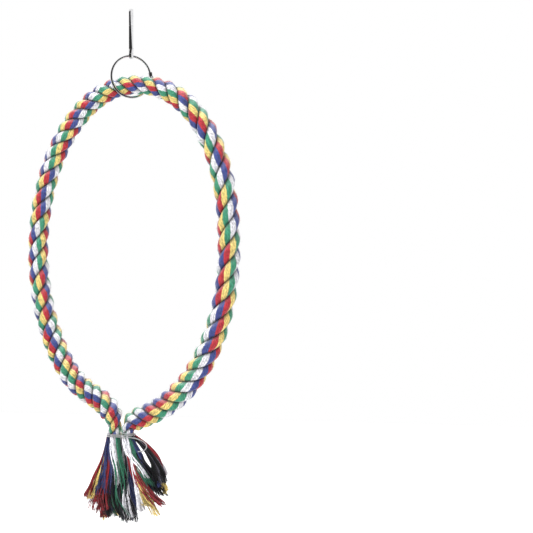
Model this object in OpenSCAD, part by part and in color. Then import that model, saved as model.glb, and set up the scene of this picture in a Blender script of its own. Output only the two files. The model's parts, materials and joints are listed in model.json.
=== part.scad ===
// Bird swing: a loop of three-strand cotton rope, hung by a hinged steel ring from a sheet-steel snap hook.
// Millimetres. +Z is up, +X runs along the width of the loop and -Y is its front.
// The origin is the centre of the hook's top bend, where a cage bar sits.

/* [Hook] */
// Overall length of the snap hook
hook_length = 46; // [42:0.5:54]
// Inside radius of the bend that hangs on a cage bar
bend_r = 4.5; // [3.5:0.25:6]
// Width of the steel strip
strip_w = 4; // [3:0.25:4.5]
// Thickness of the strip along its crown
strip_t = 1; // [0.8:0.1:1.2]
// Thickness of the strip at its two edges
strip_edge_t = 0.45; // [0.3:0.05:0.6]
// Inside radius of the eye that holds the ring
eye_r = 2.6; // [2.5:0.1:3.2]
// Height of the waist above the centre of the eye
waist_rise = 6; // [5:0.25:8]
// Clear gap between the two limbs at the waist
waist_gap = 1.2; // [1:0.1:1.8]
// Length of the fixed nose, from the bend's centre down to the seam
nose_length = 10.5; // [8:0.5:13]
// Length of the tab on the gate that tucks in behind the nose
tab_length = 2.4; // [1.5:0.1:3.5]
// Gap in the seam between the nose and the gate
seam_gap = 0.3; // [0.2:0.05:0.4]
// Turn of the hook about the vertical
hook_yaw = 22; // [15:1:30]

/* [Ring] */
// Drop of the rope's middle below the middle of the ring, which sets how much room the ring has
rope_drop = 7.5; // [5:0.1:9]
// Diameter of the ring's wire
wire_d = 2.3; // [2:0.1:2.4]
// Turn of the ring about the vertical, measured from the plane of the loop
ring_yaw = 42; // [40:1:48]
// Radius of the hinge knuckle
knuckle_r = 2.1; // [1.9:0.1:2.4]
// Thickness of the hinge tongue on the lower half
tongue_t = 1.2; // [1:0.1:1.4]
// Thickness of each cheek of the fork on the upper half
cheek_t = 0.9; // [0.7:0.1:1.1]
// Diameter of the rivet
rivet_d = 1.2; // [1:0.1:1.4]
// Diameter of the rivet's heads
rivet_head_d = 2.8; // [2.2:0.1:3.2]
// Height of each rivet head
rivet_head_h = 0.5; // [0.4:0.1:0.7]
// Diameter of the nib that snaps into the upper half
nib_d = 1.1; // [0.9:0.1:1.2]
// Length of the nib
nib_length = 1.6; // [1.2:0.1:2]

/* [Rope] */
// Outside diameter of the laid rope
rope_d = 20; // [18:0.25:20.5]
// Width of the loop between rope centres
loop_w = 185.5; // [178:0.5:200]
// Height of the loop above its widest level
loop_up = 148; // [140:1:160]
// Height of the loop below its widest level
loop_down = 150; // [142:1:160]
// Length of one turn of the strands on the two sides
lay_side = 50.5; // [44:0.5:60]
// Length of one turn of the strands over the top
lay_top = 33.5; // [28:0.5:40]
// Length of one turn of the strands beside the tie
lay_end = 29.5; // [26:0.5:40]
// Gap between neighbouring strands
strand_gap = 0.3; // [0.25:0.05:0.4]

/* [Tie and tails] */
// Place of the tie to the left of the loop's middle
tie_left = 9.5; // [5:0.5:15]
// Drop of the tie below the loop's lowest rope centre
tie_drop = 21; // [18:0.5:26]
// Diameter of the rope ends where the tie squeezes them
end_d = 12.6; // [11.5:0.1:13]
// Diameter of the tie wire
tie_wire_d = 1; // [0.8:0.1:1.2]
// Gap between the turns of the tie wire
tie_gap = 0.5; // [0.45:0.05:0.7]
// Length of the longest yarn tail below the tie
tail_length = 79; // [65:1:95]
// Spread of the tails at their ends, as a multiple of their places in the tie
tail_spread = 3.5; // [2.5:0.1:3.6]
// Largest diameter of one tail
tail_d = 6.5; // [4:0.25:7]

/* [Hidden] */
$fn = 64;
steel = [0.78, 0.79, 0.80];
red = [0.80, 0.13, 0.20];
blue = [0.22, 0.30, 0.62];
white = [0.90, 0.89, 0.93];
green = [0.10, 0.55, 0.38];
yellow = [0.93, 0.76, 0.32];
black = [0.12, 0.12, 0.14];

// One overrun serves every cut
overrun = 0.5;

// Hook: a flat-backed, domed strip bent into a gourd outline
crown_h = strip_t - strip_edge_t;
dome_r = (pow(strip_w / 2, 2) + pow(crown_h, 2)) / (2 * crown_h);
hook_top = bend_r + strip_t;
hook_bottom = hook_top - hook_length;
eye_y = hook_bottom + strip_t + eye_r;
mid_t = strip_t / 2;
// Each straight of the strip runs this far into its bends, a hair smaller than they are
strip_lap = 0.3;
strip_inset = 0.02;
waist = [waist_gap / 2 + mid_t, eye_y + waist_rise];
bend_mid_r = bend_r + mid_t;
eye_mid_r = eye_r + mid_t;
// Angle below the horizontal at which the limb leaves the top bend
limb_turn = atan2(waist[0], -waist[1]) - asin(bend_mid_r / norm(waist));
limb_top = [bend_mid_r * cos(limb_turn), bend_mid_r * sin(limb_turn)];
limb_dir = (waist - limb_top) / norm(waist - limb_top);
nose_end = limb_top + limb_dir * (-nose_length - limb_top[1]) / limb_dir[1];
// Angle at which the strip leaves the eye for the waist
eye_reach = norm([waist[0], waist_rise]);
eye_turn = atan2(waist_rise, waist[0]) - acos(eye_mid_r / eye_reach);
eye_top = [eye_mid_r * cos(eye_turn), eye_y + eye_mid_r * sin(eye_turn)];
// Soft bend of the back limb at the waist
waist_bend_r = 3;
back_waist = [-waist[0], waist[1]];
back_up = unit([-limb_top[0], limb_top[1]] - back_waist);
back_down = unit([-eye_top[0], eye_top[1]] - back_waist);
up_turn = atan2(back_up[1], back_up[0]);
down_turn = 360 + atan2(back_down[1], back_down[0]);
half_corner = (down_turn - up_turn) / 2;
back_trim = waist_bend_r / tan(half_corner);
back_middle = (up_turn + down_turn) / 2;
back_centre = back_waist + waist_bend_r / sin(half_corner) * [cos(back_middle), sin(back_middle)];
hinge_clear = 0.1;
waist_w_share = 0.9;
// Tab on the gate: a flat tongue that lies behind the nose
gate_top = nose_end + limb_dir * seam_gap;
tab_t = 0.5;
tab_w = strip_w * 0.6;
tab_back = 0.15;
tab_root = 1.6;
tab_sink = 0.15;

// Ring: it clears the rope, squeezed to its seat at the top of the loop, and slants across the hook's eye
top_share = 0.88;
seat_clear = 0.9;
wire_r = wire_d / 2;
seat_r = rope_d / 2 * top_share + seat_clear;
ring_inner_r = norm([seat_r / sin(ring_yaw), rope_drop / cos(ring_yaw)]);
ring_r = ring_inner_r + wire_r;
slant = ring_yaw - hook_yaw;
eye_clear = 0.35;
eye_room = eye_r - wire_r / cos(slant) - eye_clear;
wire_drop = sqrt(pow(eye_room, 2) - pow(strip_w / 2 * tan(slant), 2));
ring_top_z = eye_y - wire_drop;
ring_z = ring_top_z - ring_r;
pin_clear = 0.02;
hinge_gap = 0.1;
swing_clear = 0.4;
snap_gap = 0.15;
socket_clear = 0.12;
slot_t = tongue_t + 2 * hinge_gap;
fork_t = slot_t + 2 * cheek_t;
neck_length = 5;
neck_turn = 180 * neck_length / (PI * ring_r);
neck_wire_share = 0.8;
neck_w_share = 0.8;
corner_share = 0.86;
tongue_r = knuckle_r - hinge_gap;
tongue_clear = 0.08;
shoulder_turn = 180 * (knuckle_r + swing_clear) / (PI * ring_r);
seam_turn = 180 * (snap_gap / 2) / (PI * ring_r);
nib_root = 1.2;
rivet_seat = 0.05;
head_dome_r = (pow(rivet_head_d / 2, 2) + pow(rivet_head_h, 2)) / (2 * rivet_head_h);

// Rope: the loop's centreline, from the left end at the tie, up and over, to the right end
rope_r = rope_d / 2;
rope_top_z = ring_z - rope_drop;
loop_mid_z = rope_top_z - loop_up;
loop_half_w = loop_w / 2;
// Roundness of each quarter of the loop: lower left, upper left, upper right, lower right
quarter_powers = [2, 2, 2.25, 2];
left_join = 40;
right_join = 334;
loop_steps = 98;
lead_steps = 16;
tie_z = loop_mid_z - loop_down - tie_drop;
end_half = (end_d + strand_gap) / 2;
left_end = [-tie_left - end_half, 0, tie_z];
right_end = [-tie_left + end_half, 0, tie_z];
left_lead_share = 0.45;
right_lead_share = 0.24;
left_join_share = 0.40;
right_join_share = 0.60;

// Rope radius as a share of rope_r, at a share of the rope's length
end_share = end_d / rope_d;
radius_shares = [
    [0, end_share], [0.01, end_share], [0.018, 0.72], [0.027, 1.0], [0.045, 1.04], [0.10, 1.03],
    [0.25, 0.94], [0.44, 0.97], [0.485, top_share], [0.515, top_share], [0.56, 0.99], [0.75, 1.02],
    [0.90, 1.08], [0.955, 1.07], [0.978, 1.0], [0.985, 0.66], [0.99, end_share], [1, end_share]
];
// Lay length at a share of the rope's length
lay_at_shares = [
    [0, lay_end], [0.064, lay_end], [0.215, lay_side], [0.277, lay_side], [0.449, lay_top],
    [0.524, lay_top], [0.622, lay_side], [0.818, lay_side], [0.97, lay_end], [1, lay_end]
];
rings_per_turn = 8;
route_steps = 400;
bulge_share = 0.58;
lobe_turns = [-42, -21, 0, 21, 42];

// Tie: a wire wound round both rope ends, with one end sprung loose
tie_turns = 2;
tie_steps = 24;
tie_clear = 0.35;
tie_pitch = tie_wire_d + tie_gap;
tie_path_r = end_d / 2 + tie_clear + tie_wire_d / 2;
tie_start = 270;
tie_rise = 0.8;
// The rope ends run straight through the tie and a little above it
tie_lead = 2;
tie_straight = tie_rise + tie_pitch * tie_turns + tie_wire_d + tie_lead;
loose_out = 26;
loose_in = 14;
loose_drop = 12;
loose_back = 4;
loose_steps = 10;
tip_length = 3;

// Tails: six yarn bundles from each strand of each rope end
tail_inner_share = 0.36;
tail_outer_share = 0.74;
tail_gap = 0.15;
tail_rings = 6;
tail_sides = 6;
tail_seat = 0.15;
tail_tip_share = 0.75;
flare_power = 1.35;
tail_slot_share = 0.185;
// Length of the tails of each strand, left end and right end, as shares of the longest
tail_length_shares = [[0.80, 0.90, 1.0], [0.96, 0.64, 0.82]];
// Sideways shift of those tails at their ends as shares of the longest; on the right end they arch out
tail_shift_shares = [[0, 0, 0.06], [0, 0.114, 0]];
arch_power = 2;
// Place of each colour within its strand: ring of the bundle pattern and turn from the strand's middle
tail_slots = [[1, 45], [1, -45], [1, -15], [1, 15], [0, 30], [0, -30]];

function bezier(p, t) =
    pow(1 - t, 3) * p[0] + 3 * pow(1 - t, 2) * t * p[1] + 3 * (1 - t) * t * t * p[2] + pow(t, 3) * p[3];
function unit(v) = v / norm(v);
function signed_pow(v, power) = sign(v) * pow(abs(v), power);
function flip(p) = [-p[0], p[1]];
// Running total of a list of numbers, starting at zero
function running(v) = [for (i = 0, s = 0; i <= len(v); s = s + (i < len(v) ? v[i] : 0), i = i + 1) s];

// Point of the loop at a turn counted from its lowest point, up the left side and over
function loop_at(turn) =
    let (
        power = 2 / quarter_powers[min(3, floor(turn / 90))],
        half_h = cos(turn) > 0 ? loop_down : loop_up
    )
    [-loop_half_w * signed_pow(sin(turn), power), 0, loop_mid_z - half_h * signed_pow(cos(turn), power)];
function loop_dir(turn) = unit(loop_at(turn + 1) - loop_at(turn - 1));

left_join_at = loop_at(left_join);
right_join_at = loop_at(right_join);
up = [0, 0, 1];
left_straight = left_end + up * tie_straight;
right_straight = right_end + up * tie_straight;
left_reach = norm(left_join_at - left_straight);
right_reach = norm(right_join_at - right_straight);
left_lead = [
    left_straight, left_straight + up * left_reach * left_lead_share,
    left_join_at - loop_dir(left_join) * left_reach * left_join_share, left_join_at
];
right_lead = [
    right_join_at, right_join_at + loop_dir(right_join) * right_reach * right_join_share,
    right_straight + up * right_reach * right_lead_share, right_straight
];
route = [
    left_end,
    for (i = [0 : lead_steps - 1]) bezier(left_lead, i / lead_steps),
    for (i = [0 : loop_steps]) loop_at(left_join + (right_join - left_join) * i / loop_steps),
    for (i = [1 : lead_steps]) bezier(right_lead, i / lead_steps),
    right_end
];
route_s = running([for (i = [1 : len(route) - 1]) norm(route[i] - route[i - 1])]);
rope_length = route_s[len(route_s) - 1];
route_x = [for (i = [0 : len(route) - 1]) [route_s[i], route[i][0]]];
route_z = [for (i = [0 : len(route) - 1]) [route_s[i], route[i][2]]];
function rope_at(s) = [lookup(s, route_x), 0, lookup(s, route_z)];
// Half the length over which the rope's direction is taken
dir_reach = 1;
function rope_dir(s) = unit(rope_at(min(rope_length, s + dir_reach)) - rope_at(max(0, s - dir_reach)));
function rope_r_at(s) = rope_r * lookup(s / rope_length, radius_shares);

// Turn of the strands along the rope, and its inverse
step_s = rope_length / route_steps;
lay_turns = running([
    for (i = [0 : route_steps - 1]) 360 * step_s / lookup((i + 0.5) / route_steps, lay_at_shares)
]);
total_turn = lay_turns[route_steps];
s_of_turn = [for (i = [0 : route_steps]) [lay_turns[i], i * step_s]];
ring_count = round(total_turn / 360 * rings_per_turn);
strand_starts = [60, 180, 300];

// Outline of one strand in a rope of radius r, its middle at the given turn
function bulge(turn, r) =
    let (c = r * (1 - bulge_share), b = r * bulge_share)
    c * cos(turn) + sqrt(b * b - pow(c * sin(turn), 2));
function polar(r, turn) = [r * cos(turn), r * sin(turn)];
function strand_outline(r, middle) =
    let (
        edge = strand_gap / 2,
        valley = bulge(60, r),
        inset = asin(edge / valley)
    )
    concat(
        [polar(edge / sin(60), middle), polar(valley, middle - 60 + inset)],
        [for (a = lobe_turns) polar(bulge(a, r), middle + a)],
        [polar(valley, middle + 60 - inset)]
    );
function strand_rings(start) = [
    for (k = [0 : ring_count])
    let (
        turn = total_turn * k / ring_count,
        s = lookup(turn, s_of_turn)
    )
    ring_round(rope_at(s), rope_dir(s), [0, 1, 0], strand_outline(rope_r_at(s), start + turn))
];

// Ring of points round a path; side_of is where turns are counted from
function ring_round(at, along, side_of, section) =
    let (
        t = unit(along),
        e1 = unit(side_of - (side_of * t) * t),
        e2 = cross(t, e1)
    )
    [for (p = section) at + p[0] * e1 + p[1] * e2];
function path_dir(path, i) = path[min(i + 1, len(path) - 1)] - path[max(i - 1, 0)];
function disc(r, sides) = [for (k = [0 : sides - 1]) polar(r, 360 * k / sides)];

// Path of the tie wire: a short tip, the turns round both rope ends, and the end that sprang loose
function tie_at(turn) =
    let (
        around = tie_start + turn,
        along = cos(around) >= 0 ? end_half : -end_half
    )
    [-tie_left + along + tie_path_r * cos(around), tie_path_r * sin(around),
     tie_z + tie_rise + tie_wire_d / 2 + tie_pitch * (tie_turns - turn / 360)];
tie_wound = [for (i = [0 : tie_turns * tie_steps]) tie_at(360 * i / tie_steps)];
tie_first = tie_wound[0];
tie_last = tie_wound[len(tie_wound) - 1];
tie_tip = tie_first - unit(tie_wound[1] - tie_first) * tip_length + [0, -tie_wire_d, tie_wire_d];
tie_off = unit(tie_last - tie_wound[len(tie_wound) - 2]);
loose_curl = [
    tie_last, tie_last + tie_off * loose_out,
    tie_last + [loose_out, -loose_back, -loose_drop], tie_last + [loose_in, -loose_back, -loose_drop]
];
tie_path = concat([tie_tip], tie_wound, [for (i = [1 : loose_steps]) bezier(loose_curl, i / loose_steps)]);

// Skin over rings of points, with flat ends; the side that closes the outline is split the other way
module skin(rings) {
    n = len(rings[0]);
    last = len(rings) - 1;
    sides = [
        for (i = [0 : last - 1], j = [0 : n - 1])
        let (
            a = i * n + j,
            b = i * n + (j + 1) % n,
            c = a + n,
            d = b + n
        )
        each (j == n - 1 ? [[a, c, b], [b, c, d]] : [[a, d, b], [a, c, d]])
    ];
    start_cap = [for (j = [1 : n - 2]) [0, j, j + 1]];
    end_cap = [for (j = [1 : n - 2]) [last * n, last * n + j + 1, last * n + j]];
    polyhedron(points = [for (r = rings) each r], faces = concat(sides, start_cap, end_cap));
}

module strand(start) color(white) skin(strand_rings(start));
module rope_strand_a() strand(strand_starts[0]);
module rope_strand_b() strand(strand_starts[1]);
module rope_strand_c() strand(strand_starts[2]);

// The hook lies in its own XY plane, gate side towards +X, with the strip's width along Z
module hook_frame() rotate([0, 0, hook_yaw - 90]) rotate([90, 0, 0]) children();

// The ring lies in its own XY plane round its centre, front towards +Z
module ring_frame() translate([0, 0, ring_z]) rotate([0, 0, ring_yaw]) rotate([90, 0, 0]) children();

module cylinder_at(p, r, h) translate([p[0], p[1], 0]) cylinder(r = r, h = h, center = true);

// Section of the strip: flat face at X = inner, domed face outwards, drawn in all round by an inset
module strip_section(inner, inset) {
    intersection() {
        translate([inner + inset, inset - strip_w / 2]) square([strip_t - 2 * inset, strip_w - 2 * inset]);
        translate([inner + strip_t - dome_r, 0]) circle(r = dome_r - inset);
    }
}

// Straight strip between two points of its middle line, domed face on the left of the way it goes
module strip_straight(from, to, start_lap = strip_lap, end_lap = strip_lap) {
    translate([from[0], from[1], 0])
        rotate([0, 0, atan2(to[1] - from[1], to[0] - from[0])])
        rotate([90, 0, 90])
        translate([0, 0, -start_lap])
        linear_extrude(height = norm(to - from) + start_lap + end_lap)
        strip_section(-mid_t, strip_inset);
}

// Bent strip round a centre
module strip_bend(centre, inner, from, turn) {
    translate([centre[0], centre[1], 0])
        rotate([0, 0, from])
        rotate_extrude(angle = turn)
        strip_section(inner, 0);
}

// The same, bent the other way: its domed face is on the inside of the bend
module strip_bend_in(centre, middle, from, turn) {
    translate([centre[0], centre[1], 0])
        rotate([0, 0, from])
        rotate_extrude(angle = turn)
        translate([middle + mid_t, 0])
        mirror([1, 0])
        strip_section(0, 0);
}

module hook_body() {
    color(steel) hook_frame() difference() {
        union() {
            strip_bend([0, 0], bend_r, limb_turn, 180 - 2 * limb_turn);
            strip_straight(limb_top, nose_end, strip_lap, 0);
            strip_straight(back_waist + back_up * back_trim, flip(limb_top));
            strip_straight(flip(eye_top), back_waist + back_down * back_trim);
            strip_bend_in(back_centre, waist_bend_r, down_turn + 90, 180 - 2 * half_corner);
            strip_bend([0, eye_y], eye_r, 180 - eye_turn, 180 + 2 * eye_turn);
            strip_straight(waist, eye_top, 0, strip_lap);
        }
        cylinder_at(waist, mid_t + hinge_clear, strip_w + overrun);
    }
}

// Flat tongue inside the gate, in the frame of the limb: X along the limb towards the nose, Y inwards
module gate_tab() {
    translate([gate_top[0], gate_top[1], 0]) rotate([0, 0, atan2(-limb_dir[1], -limb_dir[0])]) {
        translate([-tab_root, mid_t + tab_back, -tab_w / 2]) cube([tab_root + tab_length, tab_t, tab_w]);
        translate([-tab_root, mid_t - tab_sink, -tab_w / 2])
            cube([tab_root - seam_gap, tab_back + tab_sink + tab_t, tab_w]);
    }
}

module hook_gate() {
    color(steel) hook_frame() {
        strip_straight(gate_top, waist, 0, 0);
        cylinder_at(waist, mid_t, strip_w * waist_w_share);
        gate_tab();
    }
}

// Ring wire between two angles
module ring_wire(from, to) {
    rotate([0, 0, from]) rotate_extrude(angle = to - from) translate([ring_r, 0]) circle(r = wire_r);
}

// Arc of a flat bar with rounded corners, of half-width w and thickness t
module ring_bar(from, to, half_w, t) {
    rotate([0, 0, from]) rotate_extrude(angle = to - from) translate([ring_r, 0]) intersection() {
        square([2 * half_w, t], center = true);
        circle(r = norm([half_w, t / 2]) * corner_share);
    }
}

module ring_upper_half() {
    color(steel) ring_frame() difference() {
        union() {
            ring_wire(neck_turn * neck_wire_share, 180 - seam_turn);
            ring_bar(0, neck_turn, knuckle_r * neck_w_share, fork_t);
            cylinder_at([ring_r, 0], knuckle_r, fork_t);
        }
        cylinder_at([ring_r, 0], knuckle_r + swing_clear, slot_t);
        cylinder_at([ring_r, 0], rivet_d / 2 + pin_clear, fork_t + overrun);
        translate([-ring_r, 0, 0]) rotate([-90, 0, 0])
            cylinder(r = nib_d / 2 + socket_clear, h = nib_length + socket_clear);
    }
}

module ring_lower_half() {
    color(steel) ring_frame() difference() {
        union() {
            ring_wire(180 + seam_turn, 360 - shoulder_turn);
            ring_bar(-neck_turn, 0, tongue_r * neck_w_share, tongue_t);
            cylinder_at([ring_r, 0], tongue_r, tongue_t);
            translate([-ring_r, -nib_root, 0]) rotate([-90, 0, 0])
                cylinder(r = nib_d / 2, h = nib_root + nib_length);
        }
        cylinder_at([ring_r, 0], rivet_d / 2 + tongue_clear, fork_t);
    }
}

module ring_rivet() {
    color(steel) ring_frame() translate([ring_r, 0, 0]) {
        cylinder(r = rivet_d / 2, h = fork_t + 2 * rivet_seat, center = true);
        for (side = [0, 1]) mirror([0, 0, side]) translate([0, 0, fork_t / 2 + rivet_seat])
            rotate_extrude() intersection() {
                square([rivet_head_d / 2, rivet_head_h]);
                translate([0, rivet_head_h - head_dome_r]) circle(r = head_dome_r);
            }
    }
}

// Tube of round section along a path
module tube(path, radii, sides, side_of) {
    skin([
        for (i = [0 : len(path) - 1])
        ring_round(path[i], path_dir(path, i), side_of, disc(radii[i], sides))
    ]);
}

module tie_wire() {
    color(steel) tube(tie_path, [for (p = tie_path) tie_wire_d / 2], 6, up);
}

// One yarn bundle: it leaves the rope end in its slot, fans out about the tie's middle and tapers to its tip
function tail_root(side, strand_turn, slot) =
    let (
        r = end_d / 2 * (slot[0] == 1 ? tail_outer_share : tail_inner_share),
        p = polar(r, strand_turn + slot[1]),
        end_x = side == 0 ? -end_half : end_half
    )
    [end_x + p[1] * (side == 0 ? -1 : 1), p[0]];
function tail_fan(t) = 1 + (tail_spread - 1) * pow(t, flare_power);
function tail_path(root, length, shift, side) = [
    for (k = [0 : tail_rings - 1])
    let (
        t = k / (tail_rings - 1),
        fan = tail_fan(t * length / tail_length),
        ease = side == 0 ? pow(t, flare_power) : 1 - pow(1 - t, arch_power)
    )
    [-tie_left + root[0] * fan + shift * ease, root[1] * fan, tie_z - tail_seat - length * t]
];
function tail_radii(length) = [
    for (k = [0 : tail_rings - 1])
    let (
        t = k / (tail_rings - 1),
        fan = tail_fan(t * length / tail_length),
        room = end_d * tail_slot_share / 2 * fan - tail_gap / 2
    )
    min(room, tail_d / 2) * (k == tail_rings - 1 ? tail_tip_share : 1)
];
module tails(side, colour_index, tint) {
    color(tint) for (k = [0 : 2]) {
        length = tail_length * tail_length_shares[side][k];
        turn = strand_starts[k] + (side == 0 ? 0 : total_turn);
        root = tail_root(side, turn, tail_slots[colour_index]);
        shift = tail_length * tail_shift_shares[side][k];
        tube(tail_path(root, length, shift, side), tail_radii(length), tail_sides, [1, 0, 0]);
    }
}
module left_tail_red() tails(0, 0, red);
module left_tail_blue() tails(0, 1, blue);
module left_tail_white() tails(0, 2, white);
module left_tail_green() tails(0, 3, green);
module left_tail_yellow() tails(0, 4, yellow);
module left_tail_black() tails(0, 5, black);
module right_tail_red() tails(1, 0, red);
module right_tail_blue() tails(1, 1, blue);
module right_tail_white() tails(1, 2, white);
module right_tail_green() tails(1, 3, green);
module right_tail_yellow() tails(1, 4, yellow);
module right_tail_black() tails(1, 5, black);

// Least gap of the tie wire to itself, between points more than half a turn apart
tie_self_gap = min([
    for (i = [0 : len(tie_path) - 1], j = [i + tie_steps / 2 : 1 : len(tie_path) - 1])
    norm(tie_path[i] - tie_path[j])
]) - tie_wire_d;
// Least gap of the tie wire to the rope, and of the two rope ends to each other
probe_count = 60;
probe_reach = 3 * rope_d;
probes = [for (i = [0 : probe_count]) probe_reach * i / probe_count];
function wire_gap_at(p, s) = norm(p - rope_at(s)) - rope_r_at(s) - tie_wire_d / 2;
function end_gap_at(s, t) = norm(rope_at(s) - rope_at(t)) - rope_r_at(s) - rope_r_at(t);
tie_rope_gap = min([for (p = tie_path, s = probes) min(wire_gap_at(p, s), wire_gap_at(p, rope_length - s))]);
rope_end_gap = min([for (s = probes, t = probes) end_gap_at(s, rope_length - t)]);
echo(tie_self_gap = tie_self_gap, tie_rope_gap = tie_rope_gap, rope_end_gap = rope_end_gap);
echo(rope_length = rope_length, strand_turns = total_turn / 360);
echo(ring_od = 2 * (ring_r + wire_r), ring_r = ring_r, ring_z = ring_z, ring_top_z = ring_top_z);
echo(eye_y = eye_y, rope_top_z = rope_top_z, loop_mid_z = loop_mid_z, tie_z = tie_z);

hook_body();
hook_gate();
ring_upper_half();
ring_lower_half();
ring_rivet();
rope_strand_a();
rope_strand_b();
rope_strand_c();
tie_wire();
left_tail_red();
left_tail_blue();
left_tail_white();
left_tail_green();
left_tail_yellow();
left_tail_black();
right_tail_red();
right_tail_blue();
right_tail_white();
right_tail_green();
right_tail_yellow();
right_tail_black();
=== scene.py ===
"""Bird swing: a loop of three-strand cotton rope with a frayed tassel, on a hinged ring and a snap hook.

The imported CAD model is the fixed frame. The rope, the tassel and the tie wire are made here round its solids,
and the metal pieces are smooth copies of its own.
"""

import json
import math
import random

import bmesh
import bpy
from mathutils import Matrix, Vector


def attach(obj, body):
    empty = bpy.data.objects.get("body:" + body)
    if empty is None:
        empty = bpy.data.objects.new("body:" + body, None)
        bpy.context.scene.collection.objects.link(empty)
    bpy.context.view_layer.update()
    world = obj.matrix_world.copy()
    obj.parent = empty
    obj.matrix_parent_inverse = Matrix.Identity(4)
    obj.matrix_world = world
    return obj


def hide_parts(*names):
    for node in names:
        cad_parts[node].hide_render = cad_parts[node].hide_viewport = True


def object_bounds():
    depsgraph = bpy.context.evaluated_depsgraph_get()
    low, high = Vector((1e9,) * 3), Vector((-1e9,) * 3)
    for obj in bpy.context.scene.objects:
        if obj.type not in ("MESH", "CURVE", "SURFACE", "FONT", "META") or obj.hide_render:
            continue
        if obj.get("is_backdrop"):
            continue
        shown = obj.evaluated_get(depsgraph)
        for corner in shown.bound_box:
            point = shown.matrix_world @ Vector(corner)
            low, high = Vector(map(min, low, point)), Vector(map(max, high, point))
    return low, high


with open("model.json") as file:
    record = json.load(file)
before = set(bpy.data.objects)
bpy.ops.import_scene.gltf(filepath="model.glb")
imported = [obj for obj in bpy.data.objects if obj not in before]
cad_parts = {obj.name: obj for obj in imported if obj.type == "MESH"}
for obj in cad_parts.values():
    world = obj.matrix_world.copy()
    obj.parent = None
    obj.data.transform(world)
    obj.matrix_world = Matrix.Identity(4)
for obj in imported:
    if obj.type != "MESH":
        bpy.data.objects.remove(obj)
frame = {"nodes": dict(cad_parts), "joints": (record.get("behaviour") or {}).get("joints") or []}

bl_info = {
    "name": "Bird swing",
    "version": (1, 0, 0),
    "blender": (4, 5, 0),
    "location": "View3D > Sidebar > Bird swing",
    "description": "Builds the rope loop, tassel, tie wire and metal finishes of a bird swing",
    "category": "Object",
}

MM = 0.001
COLOURS = ("red", "blue", "white", "green", "yellow", "black")
STRANDS = ("rope_strand_a", "rope_strand_b", "rope_strand_c")
TAIL_NODES = tuple(f"{side}_tail_{colour}" for side in ("left", "right") for colour in COLOURS)


def joint_z(name):
    """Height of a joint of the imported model, in millimetres."""
    return next(j for j in frame["joints"] if j["name"] == name)["pos_m"][2] / MM


# Sizes of the rope, its loop and its tie, as the solids have them, in millimetres and degrees
ROPE_R = 10.0
LOOP_W = 185.5
LOOP_UP = 148.0
LOOP_DOWN = 150.0
TIE_LEFT = 9.5
TIE_DROP = 21.0
END_D = 12.6
STRAND_GAP = 0.3
END_HALF = (END_D + STRAND_GAP) / 2
LAY_SIDE, LAY_TOP, LAY_END = 50.5, 33.5, 29.5
TOP_SHARE = 0.88
END_SHARE = END_D / (2 * ROPE_R)
ROPE_TOP_Z = joint_z("rope_swing")
LOOP_MID_Z = ROPE_TOP_Z - LOOP_UP
TIE_Z = LOOP_MID_Z - LOOP_DOWN - TIE_DROP
QUARTER_POWERS = (2.0, 2.0, 2.25, 2.0)
LEFT_JOIN, RIGHT_JOIN = 40.0, 334.0
LOOP_STEPS, LEAD_STEPS = 98, 16
LEFT_LEAD_SHARE, RIGHT_LEAD_SHARE = 0.45, 0.24
LEFT_JOIN_SHARE, RIGHT_JOIN_SHARE = 0.40, 0.60
TIE_WIRE_D, TIE_GAP, TIE_CLEAR = 1.0, 0.5, 0.35
TIE_TURNS, TIE_STEPS, TIE_START, TIE_RISE, TIE_LEAD = 2, 24, 270.0, 0.8, 2.0
TIE_PITCH = TIE_WIRE_D + TIE_GAP
TIE_STRAIGHT = TIE_RISE + TIE_PITCH * TIE_TURNS + TIE_WIRE_D + TIE_LEAD
STRAND_STARTS = (60.0, 180.0, 300.0)

# The rope's radius, in shares of its full one, and the length of a turn of its lay, at shares of its length
RADIUS_SHARES = (
    (0, END_SHARE), (0.01, END_SHARE), (0.018, 0.72), (0.027, 1.0), (0.045, 1.04), (0.10, 1.03),
    (0.25, 0.94), (0.44, 0.97), (0.485, TOP_SHARE), (0.515, TOP_SHARE), (0.56, 0.99), (0.75, 1.02),
    (0.90, 1.08), (0.955, 1.07), (0.978, 1.0), (0.985, 0.66), (0.99, END_SHARE), (1, END_SHARE),
)
LAY_AT_SHARES = (
    (0, LAY_END), (0.064, LAY_END), (0.215, LAY_SIDE), (0.277, LAY_SIDE), (0.449, LAY_TOP),
    (0.524, LAY_TOP), (0.622, LAY_SIDE), (0.818, LAY_SIDE), (0.97, LAY_END), (1, LAY_END),
)


def lookup(x, table):
    """Straight-line value of a table at x."""
    if x <= table[0][0]:
        return table[0][1]
    for (x0, y0), (x1, y1) in zip(table, table[1:]):
        if x <= x1:
            return y0 + (y1 - y0) * (x - x0) / (x1 - x0)
    return table[-1][1]


def signed_power(value, power):
    """A power that keeps the value's sign."""
    return math.copysign(abs(value) ** power, value)


def loop_point(turn):
    """Point of the loop's centreline, turn counted from its lowest point up the left side."""
    power = 2 / QUARTER_POWERS[min(3, int(turn // 90))]
    c, s = math.cos(math.radians(turn)), math.sin(math.radians(turn))
    half_h = LOOP_DOWN if c > 0 else LOOP_UP
    return Vector((-LOOP_W / 2 * signed_power(s, power), 0, LOOP_MID_Z - half_h * signed_power(c, power)))


def loop_direction(turn):
    """Direction of the loop's centreline at a turn."""
    return (loop_point(turn + 1) - loop_point(turn - 1)).normalized()


def bezier(p, t):
    """Point at share t of a curve with four control points."""
    return (1 - t) ** 3 * p[0] + 3 * (1 - t) ** 2 * t * p[1] + 3 * (1 - t) * t * t * p[2] + t ** 3 * p[3]


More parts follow.
